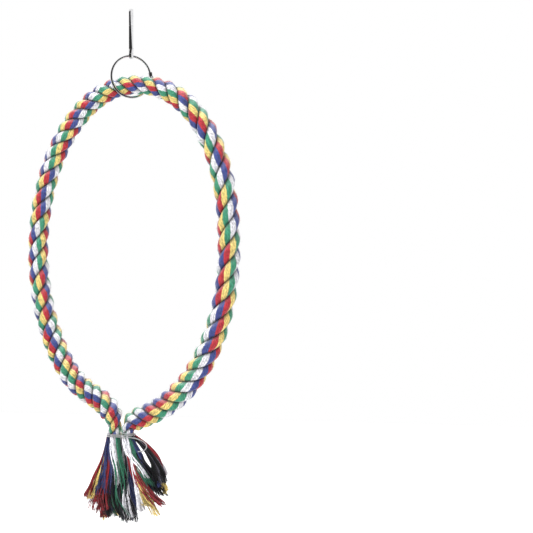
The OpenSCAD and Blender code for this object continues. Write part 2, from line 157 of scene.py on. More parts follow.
def rope_route():
    """The rope's centreline from the left end at the tie, up and over, to the right end."""
    up = Vector((0, 0, 1))
    left_end = Vector((-TIE_LEFT - END_HALF, 0, TIE_Z))
    right_end = Vector((-TIE_LEFT + END_HALF, 0, TIE_Z))
    left_top, right_top = left_end + up * TIE_STRAIGHT, right_end + up * TIE_STRAIGHT
    left_at, right_at = loop_point(LEFT_JOIN), loop_point(RIGHT_JOIN)
    left_reach, right_reach = (left_at - left_top).length, (right_at - right_top).length
    left = (
        left_top, left_top + up * left_reach * LEFT_LEAD_SHARE,
        left_at - loop_direction(LEFT_JOIN) * left_reach * LEFT_JOIN_SHARE, left_at,
    )
    right = (
        right_at, right_at + loop_direction(RIGHT_JOIN) * right_reach * RIGHT_JOIN_SHARE,
        right_top + up * right_reach * RIGHT_LEAD_SHARE, right_top,
    )
    route = [left_end] + [bezier(left, i / LEAD_STEPS) for i in range(LEAD_STEPS)]
    step = (RIGHT_JOIN - LEFT_JOIN) / LOOP_STEPS
    route += [loop_point(LEFT_JOIN + step * i) for i in range(LOOP_STEPS + 1)]
    route += [bezier(right, i / LEAD_STEPS) for i in range(1, LEAD_STEPS + 1)]
    return route + [right_end]


def running(values):
    """Running totals of values, from zero."""
    total, out = 0.0, [0.0]
    for value in values:
        total += value
        out.append(total)
    return out


ROUTE = rope_route()
ROUTE_S = running([(b - a).length for a, b in zip(ROUTE, ROUTE[1:])])
ROPE_LENGTH = ROUTE_S[-1]
ROUTE_X = list(zip(ROUTE_S, [p.x for p in ROUTE]))
ROUTE_Z = list(zip(ROUTE_S, [p.z for p in ROUTE]))
TURN_STEPS = 400
TURN_STEP = ROPE_LENGTH / TURN_STEPS
TURNS = running([360 * TURN_STEP / lookup((i + 0.5) / TURN_STEPS, LAY_AT_SHARES) for i in range(TURN_STEPS)])
TURN_AT = [(i * TURN_STEP, turn) for i, turn in enumerate(TURNS)]


def rope_point(s):
    """Point of the rope's centreline at a length from its left end."""
    return Vector((lookup(s, ROUTE_X), 0, lookup(s, ROUTE_Z)))


# What a user would change


def length(name, description, size):
    """A length, with its default size in millimetres."""
    return bpy.props.FloatProperty(
        name=name, description=description, default=size * MM, subtype="DISTANCE", unit="LENGTH",
    )


def angle(name, description, degrees):
    """An angle, with its default in degrees."""
    return bpy.props.FloatProperty(
        name=name, description=description, default=math.radians(degrees), subtype="ANGLE",
    )


def dye(name, colour):
    """The colour of one dye."""
    return bpy.props.FloatVectorProperty(
        name=name, description=f"{name} yarn", default=colour, subtype="COLOR", size=3,
    )


class RopeSettings(bpy.types.PropertyGroup):
    """Sizes of the laid rope and the lie of its colours."""

    rings: bpy.props.IntProperty(
        name="Rings", description="Rings of points along each strand", default=1650, min=200,
    )
    across: bpy.props.IntProperty(
        name="Points across", description="Points across a strand's crown", default=34, min=8,
    )
    yarn_relief: length("Yarn relief", "Depth of the grooves between the colours", 0.16)
    colour_period: angle("Colour period", "Turn across a strand in which the five colours repeat", 160)
    colour_drift: angle("Colour drift", "Turn of the rope in which the colours move on by one repeat", 150)
    fuzz_count: bpy.props.IntProperty(
        name="Fuzz", description="Loose fibres per square centimetre", default=22, min=0,
    )
    fuzz_length: length("Fuzz length", "Length of a loose fibre", 2.2)


class YarnColours(bpy.types.PropertyGroup):
    """The dyes of the cotton yarns."""

    red: dye("Red", (0.40, 0.008, 0.019))
    blue: dye("Blue", (0.030, 0.050, 0.22))
    white: dye("White", (0.66, 0.655, 0.69))
    green: dye("Green", (0.026, 0.235, 0.13))
    yellow: dye("Yellow", (0.685, 0.525, 0.16))
    black: dye("Black", (0.012, 0.012, 0.015))


class TasselSettings(bpy.types.PropertyGroup):
    """Sizes of the frayed tassel."""

    yarns: bpy.props.IntProperty(
        name="Yarns", description="Yarns in a bundle, before each colour's share", default=17, min=4,
    )
    yarn_radius: length("Yarn radius", "Radius of one yarn", 0.62)
    wobble: length("Wobble", "How far a yarn wanders from its bundle", 1.25)
    seed: bpy.props.IntProperty(name="Seed", description="Seed of the yarns' places", default=7)


class MetalSettings(bpy.types.PropertyGroup):
    """Finish of the hook, ring and tie wire."""

    tint: bpy.props.FloatVectorProperty(
        name="Steel", description="Colour of the plated steel", subtype="COLOR", size=3,
        default=(0.78, 0.78, 0.79),
    )
    roughness: bpy.props.FloatProperty(
        name="Roughness", description="Roughness of the plating", default=0.16, min=0.0, max=1.0,
    )


class StageSettings(bpy.types.PropertyGroup):
    """Place of the camera."""

    azimuth: angle("Azimuth", "Turn of the camera from the front towards the right", 22)
    elevation: angle("Elevation", "Height angle of the camera", -2)
    distance: length("Distance", "Distance from the camera to the swing", 1300)


SETTINGS = {
    "swing_rope": RopeSettings,
    "swing_colours": YarnColours,
    "swing_tassel": TasselSettings,
    "swing_metal": MetalSettings,
    "swing_stage": StageSettings,
}


# Helpers for node trees


def add_node(tree, kind, inputs=None, **settings):
    """A node with its settings made, and its inputs set or linked by name or number."""
    node = tree.nodes.new(kind)
    for key, value in settings.items():
        setattr(node, key, value)
    for key, value in (inputs or {}).items():
        if isinstance(value, bpy.types.NodeSocket):
            tree.links.new(value, node.inputs[key])
        else:
            node.inputs[key].default_value = value
    return node


def made(tree, kind, inputs=None, **settings):
    """First output of a new node."""
    return add_node(tree, kind, inputs, **settings).outputs[0]


def calc(tree, operation, *values):
    """Output of a Math node."""
    return made(tree, "ShaderNodeMath", dict(enumerate(values)), operation=operation)


def plus(tree, first, second):
    """Sum of two values."""
    return calc(tree, "ADD", first, second)


def times(tree, first, second):
    """Product of two values."""
    return calc(tree, "MULTIPLY", first, second)


def weighted_sum(tree, *parts):
    """Sum of values, each times its own weight."""
    total, *rest = [times(tree, value, weight) for value, weight in parts]
    for part in rest:
        total = plus(tree, total, part)
    return total


def vector_calc(tree, operation, *values):
    """Output of a Vector Math node."""
    node = add_node(tree, "ShaderNodeVectorMath", dict(enumerate(values)), operation=operation)
    return node.outputs["Value" if operation == "DOT_PRODUCT" else "Vector"]


def scaled(tree, vector, factor):
    """A vector or colour times a value."""
    inputs = {"Vector": vector, "Scale": factor}
    return add_node(tree, "ShaderNodeVectorMath", inputs, operation="SCALE").outputs["Vector"]


def xyz(tree, x, y=0.0, z=0.0):
    """A vector from three values."""
    return made(tree, "ShaderNodeCombineXYZ", {0: x, 1: y, 2: z})


def mapped(tree, value, low, high, low_result, high_result, kind="LINEAR"):
    """A value taken from one range to another, and held at its ends."""
    inputs = dict(enumerate((value, low, high, low_result, high_result)))
    return made(tree, "ShaderNodeMapRange", inputs, interpolation_type=kind)


def noise(tree, place, scale, detail, roughness=0.5, flat=False):
    """A noise texture at a place: its value and its colour."""
    inputs = {"Vector": place, "Scale": scale, "Detail": detail, "Roughness": roughness}
    node = add_node(tree, "ShaderNodeTexNoise", inputs, noise_dimensions="2D" if flat else "3D")
    return node.outputs[0], node.outputs[1]


def shared(name, make, *values):
    """A material or node group of this name, made once and used by several pieces."""
    for kind in (bpy.data.materials, bpy.data.node_groups):
        if name in kind:
            return kind[name]
    return make(name, *values)


# Helpers for Geometry Nodes


GEOMETRY = {"Geometry": "Geometry"}


def new_tree(name, inputs, outputs=GEOMETRY, kind="GeometryNodeTree"):
    """A node group with named inputs and outputs: the group, what it is given and its output node."""
    tree = bpy.data.node_groups.new(name, kind)
    for side, sockets in (("INPUT", inputs), ("OUTPUT", outputs)):
        for label, socket in sockets.items():
            tree.interface.new_socket(label, in_out=side, socket_type="NodeSocket" + socket)
    return tree, tree.nodes.new("NodeGroupInput").outputs, tree.nodes.new("NodeGroupOutput")


def named(tree, name):
    """A number stored on the points under a name."""
    inputs = {"Name": name}
    return add_node(tree, "GeometryNodeInputNamedAttribute", inputs, data_type="FLOAT").outputs["Attribute"]


def store(tree, geometry, name, value):
    """The geometry with a number stored on its points under a name."""
    inputs = {"Geometry": geometry, "Name": name, "Value": value}
    node = add_node(tree, "GeometryNodeStoreNamedAttribute", inputs, data_type="FLOAT", domain="POINT")
    return node.outputs[0]


def position(tree):
    """The place of each point."""
    return made(tree, "GeometryNodeInputPosition")


def normal(tree):
    """The outward direction of each point."""
    return made(tree, "GeometryNodeInputNormal")


def shifted(tree, geometry, offset):
    """The geometry with each point moved by an offset."""
    return made(tree, "GeometryNodeSetPosition", {"Geometry": geometry, "Offset": offset})


def curve_of(tree, mesh):
    """The edges of a mesh as curves."""
    return made(tree, "GeometryNodeMeshToCurve", {"Mesh": mesh})


def resampled(tree, curve, count):
    """The curve with a number of points at even steps."""
    inputs = {"Curve": curve, "Count": count}
    return made(tree, "GeometryNodeResampleCurve", inputs, mode="COUNT")


def circle(tree, sides, radius=1.0):
    """A ring of points as an outline to sweep."""
    inputs = {"Resolution": sides, "Radius": radius}
    return made(tree, "GeometryNodeCurvePrimitiveCircle", inputs)


def swept(tree, curve, outline, size):
    """A closed tube: an outline of a size swept along a curve."""
    inputs = {"Curve": curve, "Profile Curve": outline, "Scale": size, "Fill Caps": True}
    return made(tree, "GeometryNodeCurveToMesh", inputs)


def finish_tree(tree, out, geometry, material):
    """Ends a tree in Realize Instances, smooth shading and Set Material."""
    real = add_node(tree, "GeometryNodeRealizeInstances", {"Geometry": geometry})
    smooth = add_node(tree, "GeometryNodeSetShadeSmooth", {"Geometry": real.outputs[0]})
    mat = add_node(tree, "GeometryNodeSetMaterial", {"Geometry": smooth.outputs[0], "Material": material})
    tree.links.new(mat.outputs[0], out.inputs[0])


def run_tree(name, source, tree, values):
    """Runs a tree on a source object and returns the result as a plain mesh object with no modifier."""
    modifier = source.modifiers.new(tree.name, "NODES")
    modifier.node_group = tree
    for item in tree.interface.items_tree:
        if item.item_type == "SOCKET" and item.in_out == "INPUT" and item.name in values:
            modifier[item.identifier] = values[item.name]
    graph = bpy.context.evaluated_depsgraph_get()
    result = source.evaluated_get(graph)
    mesh = bpy.data.meshes.new_from_object(result, preserve_all_data_layers=True, depsgraph=graph)
    mesh.name = name
    piece = bpy.data.objects.new(name, mesh)
    bpy.context.scene.collection.objects.link(piece)
    bpy.data.objects.remove(source)
    return piece


def line_object(name, points, attributes, edges=None):
    """Points joined in a row, or by edges, with numbers stored under each name, for a tree to work on."""
    mesh = bpy.data.meshes.new(name)
    row = [(i, i + 1) for i in range(len(points) - 1)]
    mesh.from_pydata([tuple(p) for p in points], edges or row, [])
    for key, values in attributes.items():
        mesh.attributes.new(key, "FLOAT", "POINT").data.foreach_set("value", values)
    source = bpy.data.objects.new(name, mesh)
    bpy.context.scene.collection.objects.link(source)
    return source


# Materials

# Noise in a yarn, counted in yarn widths: the plies' slant, how fast each kind changes across and along the
# yarn, and what each adds to the height and the tone
PLY_SLANT = 0.55
FIBRE_STRETCH, PATCH_STRETCH, CLUMP_STRETCH = (3.0, 0.35), (0.6, 0.12), (1.1, 0.5)
FIBRE_ROUGHNESS = 0.65
PLY_HEIGHT, FIBRE_HEIGHT, CLUMP_HEIGHT = 0.5, 0.9, 1.2
PLY_TONE, FIBRE_TONE, PATCH_TONE, CLUMP_TONE = 0.096, 1.12, 0.8, 1.6
TONE_SHIFT, TONE_LOWEST = -0.71, 0.1
# The pale cotton that pale fibres mix towards, and that the rope's painted light from above mixes towards too
FADED_AND_LIT_COTTON = (0.80, 0.79, 0.82, 1)
# Numbers of a Mix node's colour sockets: factor, two colours and result
MIX_FACTOR, MIX_A, MIX_B, MIX_RESULT = 0, 6, 7, 2
COTTON_ROUGHNESS, COTTON_SPECULAR = 0.92, 0.2
# Yarn widths in a metre of yarn, as the fibre pattern counts them
FIBRE_WIDTHS = 900.0


def new_material(name):
    """An empty material with a Principled BSDF: material, tree and shader."""
    material = bpy.data.materials.new(name)
    material.use_nodes = True
    tree = material.node_tree
    tree.nodes.clear()
    out = tree.nodes.new("ShaderNodeOutputMaterial")
    shader = tree.nodes.new("ShaderNodeBsdfPrincipled")
    tree.links.new(shader.outputs[0], out.inputs[0])
    return material, tree, shader


def attributes_of(tree, *names):
    """Numbers stored on a piece under these names, as a material reads them."""
    return [add_node(tree, "ShaderNodeAttribute", attribute_name=name).outputs["Fac"] for name in names]


def cotton_group(name):
    """Shader group: fine cotton fibres along a yarn. Along and Across are in yarn widths."""
    inputs = {"Colour": "Color", "Across": "Float", "Along": "Float", "Paleness": "Float"}
    outputs = {"Colour": "Color", "Height": "Float"}
    group, given, out = new_tree(name, inputs, outputs, "ShaderNodeTree")
    across, along = given["Across"], given["Along"]
    slant = plus(group, across, times(group, along, PLY_SLANT))

    def streaks(sideways, stretch, detail, roughness=0.5):
        """Noise drawn out along the yarn."""
        place = xyz(group, times(group, sideways, stretch[0]), times(group, along, stretch[1]))
        return noise(group, place, 1.0, detail, roughness, flat=True)[0]

    ply = calc(group, "SINE", times(group, slant, 2 * math.pi))
    fibre = streaks(slant, FIBRE_STRETCH, 3.0, FIBRE_ROUGHNESS)
    patch = streaks(across, PATCH_STRETCH, 2.0)
    clump = streaks(slant, CLUMP_STRETCH, 1.0)
    height = weighted_sum(group, (ply, PLY_HEIGHT), (fibre, FIBRE_HEIGHT), (clump, CLUMP_HEIGHT))
    tone = weighted_sum(group, (ply, PLY_TONE), (fibre, FIBRE_TONE), (patch, PATCH_TONE), (clump, CLUMP_TONE))
    tone = calc(group, "MAXIMUM", plus(group, tone, TONE_SHIFT), TONE_LOWEST)
    mixed = add_node(group, "ShaderNodeMix", {
        MIX_FACTOR: times(group, given["Paleness"], fibre),
        MIX_A: scaled(group, given["Colour"], tone),
        MIX_B: FADED_AND_LIT_COTTON,
    }, data_type="RGBA")
    group.links.new(mixed.outputs[MIX_RESULT], out.inputs["Colour"])
    group.links.new(height, out.inputs["Height"])
    return group


def cotton():
    """The cotton group, made once."""
    return shared("cotton fibre", cotton_group)


def finish_cotton(tree, shader, colour, height, bump, sheen):
    """Dull cotton with a bump of a strength and depth, and a sheen of a weight and roughness."""
    tree.links.new(colour, shader.inputs["Base Color"])
    raised = add_node(tree, "ShaderNodeBump", {"Strength": bump[0], "Distance": bump[1], "Height": height})
    tree.links.new(raised.outputs[0], shader.inputs["Normal"])
    shader.inputs["Roughness"].default_value = COTTON_ROUGHNESS
    shader.inputs["Specular IOR Level"].default_value = COTTON_SPECULAR
    shader.inputs["Sheen Weight"].default_value = sheen[0]
    shader.inputs["Sheen Roughness"].default_value = sheen[1]


# The rope's look: its dyes, how sharply two meet, in repeats, and how the line between them wavers
ROPE_DYES = COLOURS[:5]
DYE_EDGE, LAST_EDGE = 0.006, 0.0005
WAVER_ACROSS, WAVER_ALONG, WAVER_REACH = 9.0, 420.0, 0.045
# Fibre widths, and painted shade lines in the grooves between yarns, in a repeat of the dyes
REPEAT_WIDTHS, PAINTED_GROOVES = 25.0, 15
# How pale the rope's fibres are all over, and how much paler its upward side is made by painted light from
# above
ROPE_PALENESS, PAINTED_TOP_LIGHT = 0.09, 0.45
# Painted shade in the valley between strands: its darkest tone, and the power of its rise over the crown
PAINTED_VALLEY_SHADE, PAINTED_VALLEY_POWER = 0.10, 0.6
# Painted shade in the grooves between yarns: its darkest tone, its rise to the yarn's middle, and that rise's
# power
PAINTED_GROOVE_SHADE, PAINTED_GROOVE_RISE, PAINTED_GROOVE_POWER = 0.74, 0.30, 0.5
ROPE_BUMP, ROPE_SHEEN = (0.75, 0.00028), (0.6, 0.3)


def dyed_bands(tree, band, along, colours):
    """The five dyes side by side, with a little waver where two meet."""
    place = xyz(tree, times(tree, band, WAVER_ACROSS), times(tree, along, WAVER_ALONG))
    waver = noise(tree, place, 1.0, 2.0, flat=True)[0]
    moved = plus(tree, band, times(tree, plus(tree, waver, -0.5), WAVER_REACH))
    ramp = add_node(tree, "ShaderNodeValToRGB", {"Fac": calc(tree, "FRACT", moved)})
    stops = ramp.color_ramp.elements
    while len(stops) > 1:
        stops.remove(stops[-1])
    count = len(ROPE_DYES)
    for i, label in enumerate(ROPE_DYES):
        colour = (*getattr(colours, label), 1.0)
        start = stops.new(i / count + DYE_EDGE) if i else stops[0]
        start.color = colour
        stops.new((i + 1) / count - (DYE_EDGE if i < count - 1 else LAST_EDGE)).color = colour
    return ramp.outputs[0]


def rope_material(name, fibres, colours):
    """Five colour bands by the band attribute, yarns along each, painted shade in the valley between strands
    and in the grooves between yarns, and painted light that makes the side facing up paler.
    """
    material, tree, shader = new_material(name)
    band, along, crown, faded = attributes_of(tree, "band", "along", "crown", "faded")
    # painted light from above mixes the upward side towards pale cotton, on top of the fibres' own paleness
    yarn = add_node(tree, "ShaderNodeGroup", {
        "Colour": dyed_bands(tree, band, along, colours),
        "Across": times(tree, band, REPEAT_WIDTHS),
        "Along": times(tree, along, FIBRE_WIDTHS),
        "Paleness": plus(tree, times(tree, faded, PAINTED_TOP_LIGHT), ROPE_PALENESS),
    }, node_tree=fibres)
    # painted shade: the valley between strands is darkened, and so is the groove between two yarns
    valley = plus(tree, calc(tree, "POWER", crown, PAINTED_VALLEY_POWER), PAINTED_VALLEY_SHADE)
    # line: painted groove shade between yarns, darkest where two yarns meet
    line = calc(tree, "ABSOLUTE", calc(tree, "SINE", times(tree, band, PAINTED_GROOVES * math.pi)))
    line = plus(tree, times(tree, calc(tree, "POWER", line, PAINTED_GROOVE_POWER), PAINTED_GROOVE_RISE), PAINTED_GROOVE_SHADE)
    colour = scaled(tree, yarn.outputs["Colour"], times(tree, valley, line))
    finish_cotton(tree, shader, colour, yarn.outputs["Height"], ROPE_BUMP, ROPE_SHEEN)
    return material


# The cut tails look darker than the worn rope, all but the white and yellow
YARN_TONES = {"red": 0.62, "blue": 0.65, "white": 1.3, "green": 0.62, "yellow": 1.05, "black": 0.7}
# Darkest and palest yarn of a dye, and how few are pale: the black core is charcoal, with a few greyed yarns
DYED_LEVELS, CORE_LEVELS = (0.55, 1.45, 1.0), (0.3, 24.0, 4.5)
DYED_PALENESS, CORE_PALENESS = 0.07, 0.03
YARN_BUMP, DYED_SHEEN, CORE_SHEEN = (0.6, 0.0002), (0.12, 0.5), (0.04, 0.5)
AROUND_WIDTHS, TONE_SHIFT_WIDTHS = 3.0, 50.0


def yarn_material(name, fibres, label, colour):
    """One dye's loose yarns, each a little lighter or darker than the next."""
    material, tree, shader = new_material(name)
    tone, along, around = attributes_of(tree, "tone", "along", "around")
    core = label == "black"
    low, high, power = CORE_LEVELS if core else DYED_LEVELS
    dim = YARN_TONES[label]
    level = plus(tree, times(tree, calc(tree, "POWER", tone, power), (high - low) * dim), low * dim)
    yarn = add_node(tree, "ShaderNodeGroup", {
        "Colour": scaled(tree, tuple(colour), level),
        "Across": times(tree, around, AROUND_WIDTHS),
        "Along": weighted_sum(tree, (along, FIBRE_WIDTHS), (tone, TONE_SHIFT_WIDTHS)),
        "Paleness": CORE_PALENESS if core else DYED_PALENESS,
    }, node_tree=fibres)
    sheen = CORE_SHEEN if core else DYED_SHEEN
    finish_cotton(tree, shader, yarn.outputs["Colour"], yarn.outputs["Height"], YARN_BUMP, sheen)
    return material


# Steel: its cloudy wear and fine grain, and the tone and roughness with what the wear adds to them
CLOUD_SCALE, GRAIN_SCALE, GRAIN_DEPTH = 260.0, 2400.0, 0.00004
STEEL_TONE, CLOUD_TONE = 0.82, 0.36
STEEL_ROUGH, CLOUD_ROUGH = 0.6, 0.8
DULL_METALLIC = 0.7
# Where the hook strip's right and left edges roll over, in metres, and how far they turn the light
RIGHT_ROLL, LEFT_ROLL = (0.0013, 0.0017, 0.0, 1.2), (-0.0021, -0.0019, 1.4, 0.0)


def rolled_edges(tree, place):
    """The surface's direction, leant outwards where the strip's edges roll over."""
    x = made(tree, "ShaderNodeSeparateXYZ", {"Vector": place})
    lean = calc(tree, "SUBTRACT", mapped(tree, x, *RIGHT_ROLL), mapped(tree, x, *LEFT_ROLL))
    lean = add_node(
        tree, "ShaderNodeVectorTransform", {"Vector": xyz(tree, lean)},
        vector_type="VECTOR", convert_from="OBJECT", convert_to="WORLD",
    )
    flat = add_node(tree, "ShaderNodeNewGeometry").outputs["Normal"]
    return vector_calc(tree, "NORMALIZE", vector_calc(tree, "ADD", flat, lean.outputs[0]))


def steel_material(name, settings, scratch, rounded=False, dull=1.0):
    """Bright plated steel with fine wear."""
    material, tree, shader = new_material(name)
    place = add_node(tree, "ShaderNodeTexCoord").outputs["Object"]
    cloud = noise(tree, place, CLOUD_SCALE, 4.0)[0]
    grain = noise(tree, place, GRAIN_SCALE, 2.0)[0]
    tone = plus(tree, times(tree, cloud, CLOUD_TONE), STEEL_TONE)
    tree.links.new(scaled(tree, tuple(settings.tint), tone), shader.inputs["Base Color"])
    rough = settings.roughness * dull
    rough = plus(tree, times(tree, cloud, rough * CLOUD_ROUGH), rough * STEEL_ROUGH)
    tree.links.new(rough, shader.inputs["Roughness"])
    bump = add_node(tree, "ShaderNodeBump", {"Strength": scratch, "Distance": GRAIN_DEPTH, "Height": grain})
    if rounded:
        tree.links.new(rolled_edges(tree, place), bump.inputs["Normal"])
    tree.links.new(bump.outputs[0], shader.inputs["Normal"])
    shader.inputs["Metallic"].default_value = 1.0 if dull == 1.0 else DULL_METALLIC
    return material


# Stage

# The picture's width at the swing, in metres, and the camera's shift to the photograph's frame
PICTURE_WIDTH, PICTURE_SHIFT, SENSOR_WIDTH = 0.481, (0.254, 0.0), 36.0
WORLD_LIGHT = 0.58
# The room that metal sees: where its dark side begins and is full, its light, and its turn from the camera
ROOM_EDGE, ROOM_LIGHT, ROOM_TURN = (-0.05, 0.5), 0.03, 0.3
METAL_MIDDLE = (0.0, 0.0, -0.05)
# The floor: drop below the swing and half its width, in metres, colour, glow, and more glow to the camera
FLOOR_DROP, FLOOR_HALF, FLOOR_COLOUR = 0.35, 6.0, 0.92
FLOOR_GLOW, SEEN_GLOW = 0.15, 0.55
# Lamps: name, place from the swing's middle and size, in metres, and power in watts
LAMPS = (
    ("key light", (-0.7, -1.2, 1.4), 0.8, 22.0),
    ("fill light", (1.2, -0.9, 0.2), 1.2, 6.0),
    ("back light", (-0.2, 0.4, 1.6), 0.8, 26.0),
    ("top light", (-0.25, -0.25, 0.60), 0.3, 1.3),
)


def room_light(tree, direction, dark):
    """Light that metal sees in a direction: hardly any on the dark side, and the white backdrop elsewhere."""
    front = vector_calc(tree, "DOT_PRODUCT", direction, tuple(dark))
    return mapped(tree, front, *ROOM_EDGE, 1.0, ROOM_LIGHT, kind="SMOOTHSTEP")


def aim(item, place, away):
    """Puts a camera or lamp at a place, looking back along a direction."""
    item.location = place
    item.rotation_euler = (-away).to_track_quat("-Z", "Y").to_euler()
    bpy.context.scene.collection.objects.link(item)


def add_camera(scene, middle):
    """Puts the camera at the photograph's angle; returns the direction of the room's dark side."""
    stage = scene.swing_stage
    az, el = stage.azimuth, stage.elevation
    away = Vector((math.sin(az) * math.cos(el), -math.cos(az) * math.cos(el), math.sin(el)))
    data = bpy.data.cameras.new("camera")
    data.sensor_width = SENSOR_WIDTH
    data.lens = SENSOR_WIDTH * stage.distance / PICTURE_WIDTH
    data.shift_x, data.shift_y = PICTURE_SHIFT
    data.clip_start = 0.01
    camera = bpy.data.objects.new("camera", data)
    aim(camera, middle + away * stage.distance, away)
    scene.camera = camera
    right = Vector((math.cos(az), math.sin(az), 0))
    return (away - ROOM_TURN * right).normalized()


def studio_world(dark):
    """White to the camera, soft to cotton, and to metal a white backdrop with a dark side."""
    world = bpy.data.worlds.new("studio")
    world.use_nodes = True
    tree = world.node_tree
    tree.nodes.clear()
    path = tree.nodes.new("ShaderNodeLightPath").outputs
    room = room_light(tree, add_node(tree, "ShaderNodeTexCoord").outputs["Generated"], dark)
    metal = times(tree, path["Is Glossy Ray"], room)
    seen = calc(tree, "MAXIMUM", path["Is Camera Ray"], path["Is Transmission Ray"])
    soft = times(tree, path["Is Diffuse Ray"], WORLD_LIGHT)
    strength = calc(tree, "MAXIMUM", calc(tree, "MAXIMUM", seen, soft), metal)
    back = add_node(tree, "ShaderNodeBackground", {"Color": (1, 1, 1, 1), "Strength": strength})
    tree.links.new(back.outputs[0], tree.nodes.new("ShaderNodeOutputWorld").inputs[0])
    return world


def floor_material(dark):
    """A pale floor: white to the camera, plain to soft light, and to metal the same room as the world."""
    material, tree, shader = new_material("pale floor")
    path = add_node(tree, "ShaderNodeLightPath").outputs
    metal = path["Is Glossy Ray"]
    others = calc(tree, "SUBTRACT", 1.0, metal)
    pale = times(tree, others, FLOOR_COLOUR)
    tree.links.new(xyz(tree, pale, pale, pale), shader.inputs["Base Color"])
    spot = add_node(tree, "ShaderNodeNewGeometry").outputs["Position"]
    along = vector_calc(tree, "NORMALIZE", vector_calc(tree, "SUBTRACT", spot, METAL_MIDDLE))
    glow = times(tree, others, plus(tree, times(tree, path["Is Camera Ray"], SEEN_GLOW), FLOOR_GLOW))
    glow = plus(tree, glow, times(tree, metal, room_light(tree, along, dark)))
    tree.links.new(glow, shader.inputs["Emission Strength"])
    return material


class SWING_OT_stage(bpy.types.Operator):
    """Set up the camera, the pale floor, the world and the soft lights"""

    bl_idname = "swing.stage"
    bl_label = "Stage"

    def execute(self, context):
        scene = context.scene
        scene.view_settings.view_transform = "Standard"
        low, high = (Vector(c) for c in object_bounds())
        middle = Vector((0, 0, (low.z + high.z) / 2))
        dark = add_camera(scene, middle)
        scene.world = studio_world(dark)
        for label, place, size, power in LAMPS:
            light = bpy.data.lights.new(label, "AREA")
            light.shape = "DISK"
            light.size = size
            light.energy = power
            lamp = bpy.data.objects.new(label, light)
            lamp.visible_glossy = False
            aim(lamp, middle + Vector(place), Vector(place))
        corners = ((-1, -1), (1, -1), (1, 1), (-1, 1))
        corners = [(x * FLOOR_HALF, y * FLOOR_HALF, low.z - FLOOR_DROP) for x, y in corners]
        mesh = bpy.data.meshes.new("floor")
        mesh.from_pydata(corners, [], [(0, 1, 2, 3)])
        mesh.materials.append(floor_material(dark))
        floor = bpy.data.objects.new("floor", mesh)
        scene.collection.objects.link(floor)
        floor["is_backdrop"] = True
        return {"FINISHED"}


# Rope

# How far the yarns of each strand have slipped round, in colour repeats, at shares of the rope's length
SLIP_SHARES = (0.05, 0.12, 0.30, 0.45, 0.58, 0.66, 0.80, 0.95)
YARN_SLIPS = (
    (0.04, 0.08, 0.91, 1.35, 1.59, 1.53, 1.17, 0.98),
    (0.17, 0.16, 0.67, 0.97, 1.22, 1.21, 0.93, 0.81),
    (0.33, 0.29, 0.89, 1.36, 1.37, 1.22, 0.77, 0.48),
)
# A strand's outline, in rope radii, degrees and shares of its half
BULGE_SHARE = 0.58
STRAND_HALF, EDGE_TURN = 59.0, 1.0
# the crown share rises from 0 at the valley to 1 over VALLEY_WIDTH; the rope's material darkens the valley by
# it as painted shade, and the ridges and fuzz follow it too
EDGE_DIP, EDGE_WIDTH, VALLEY_WIDTH = 0.05, 0.1, 0.34
INNER_RADII, CENTRE_RADIUS = (0.58, 0.40, 0.2), 0.03
ROUTE_COUNT = 240
STRAND_COUNT = 4 * ROUTE_COUNT
# Ridges of the dyes, lumps along a strand, in metres, and where its upper side begins to take painted light
# from above
RIDGE_POWER, LUMP_SCALE, LUMP_DEPTH = 0.6, 190.0, 0.0005
TOP_LIGHT_FROM = 0.25


def bulge(turn):
    """Radius of a strand's crown at a turn from its middle, in rope radii."""
    c, b = 1 - BULGE_SHARE, BULGE_SHARE
    return c * math.cos(turn) + math.sqrt(b * b - (c * math.sin(turn)) ** 2)


def strand_outline(across):
    """Closed outline of one strand, its crown towards +X: points, with each one's turn and crown share."""
    half = math.radians(STRAND_HALF)
    rows = []
    for i in range(across + 1):
        turn = half * (2 * i / across - 1)
        inwards = 1 - abs(turn) / half
        radius = bulge(turn) - EDGE_DIP * max(0.0, 1 - inwards / EDGE_WIDTH) ** 2
        rows.append((radius, turn, min(1.0, inwards / VALLEY_WIDTH)))
    edge = half - math.radians(EDGE_TURN)
    rows += [(radius, edge, 0.0) for radius in INNER_RADII]
    rows.append((CENTRE_RADIUS, 0.0, 0.0))
    rows += [(radius, -edge, 0.0) for radius in reversed(INNER_RADII)]
    points = [(radius * math.cos(turn), radius * math.sin(turn), 0) for radius, turn, _ in rows]
    return points, [turn for _, turn, _ in rows], [crown for _, _, crown in rows]


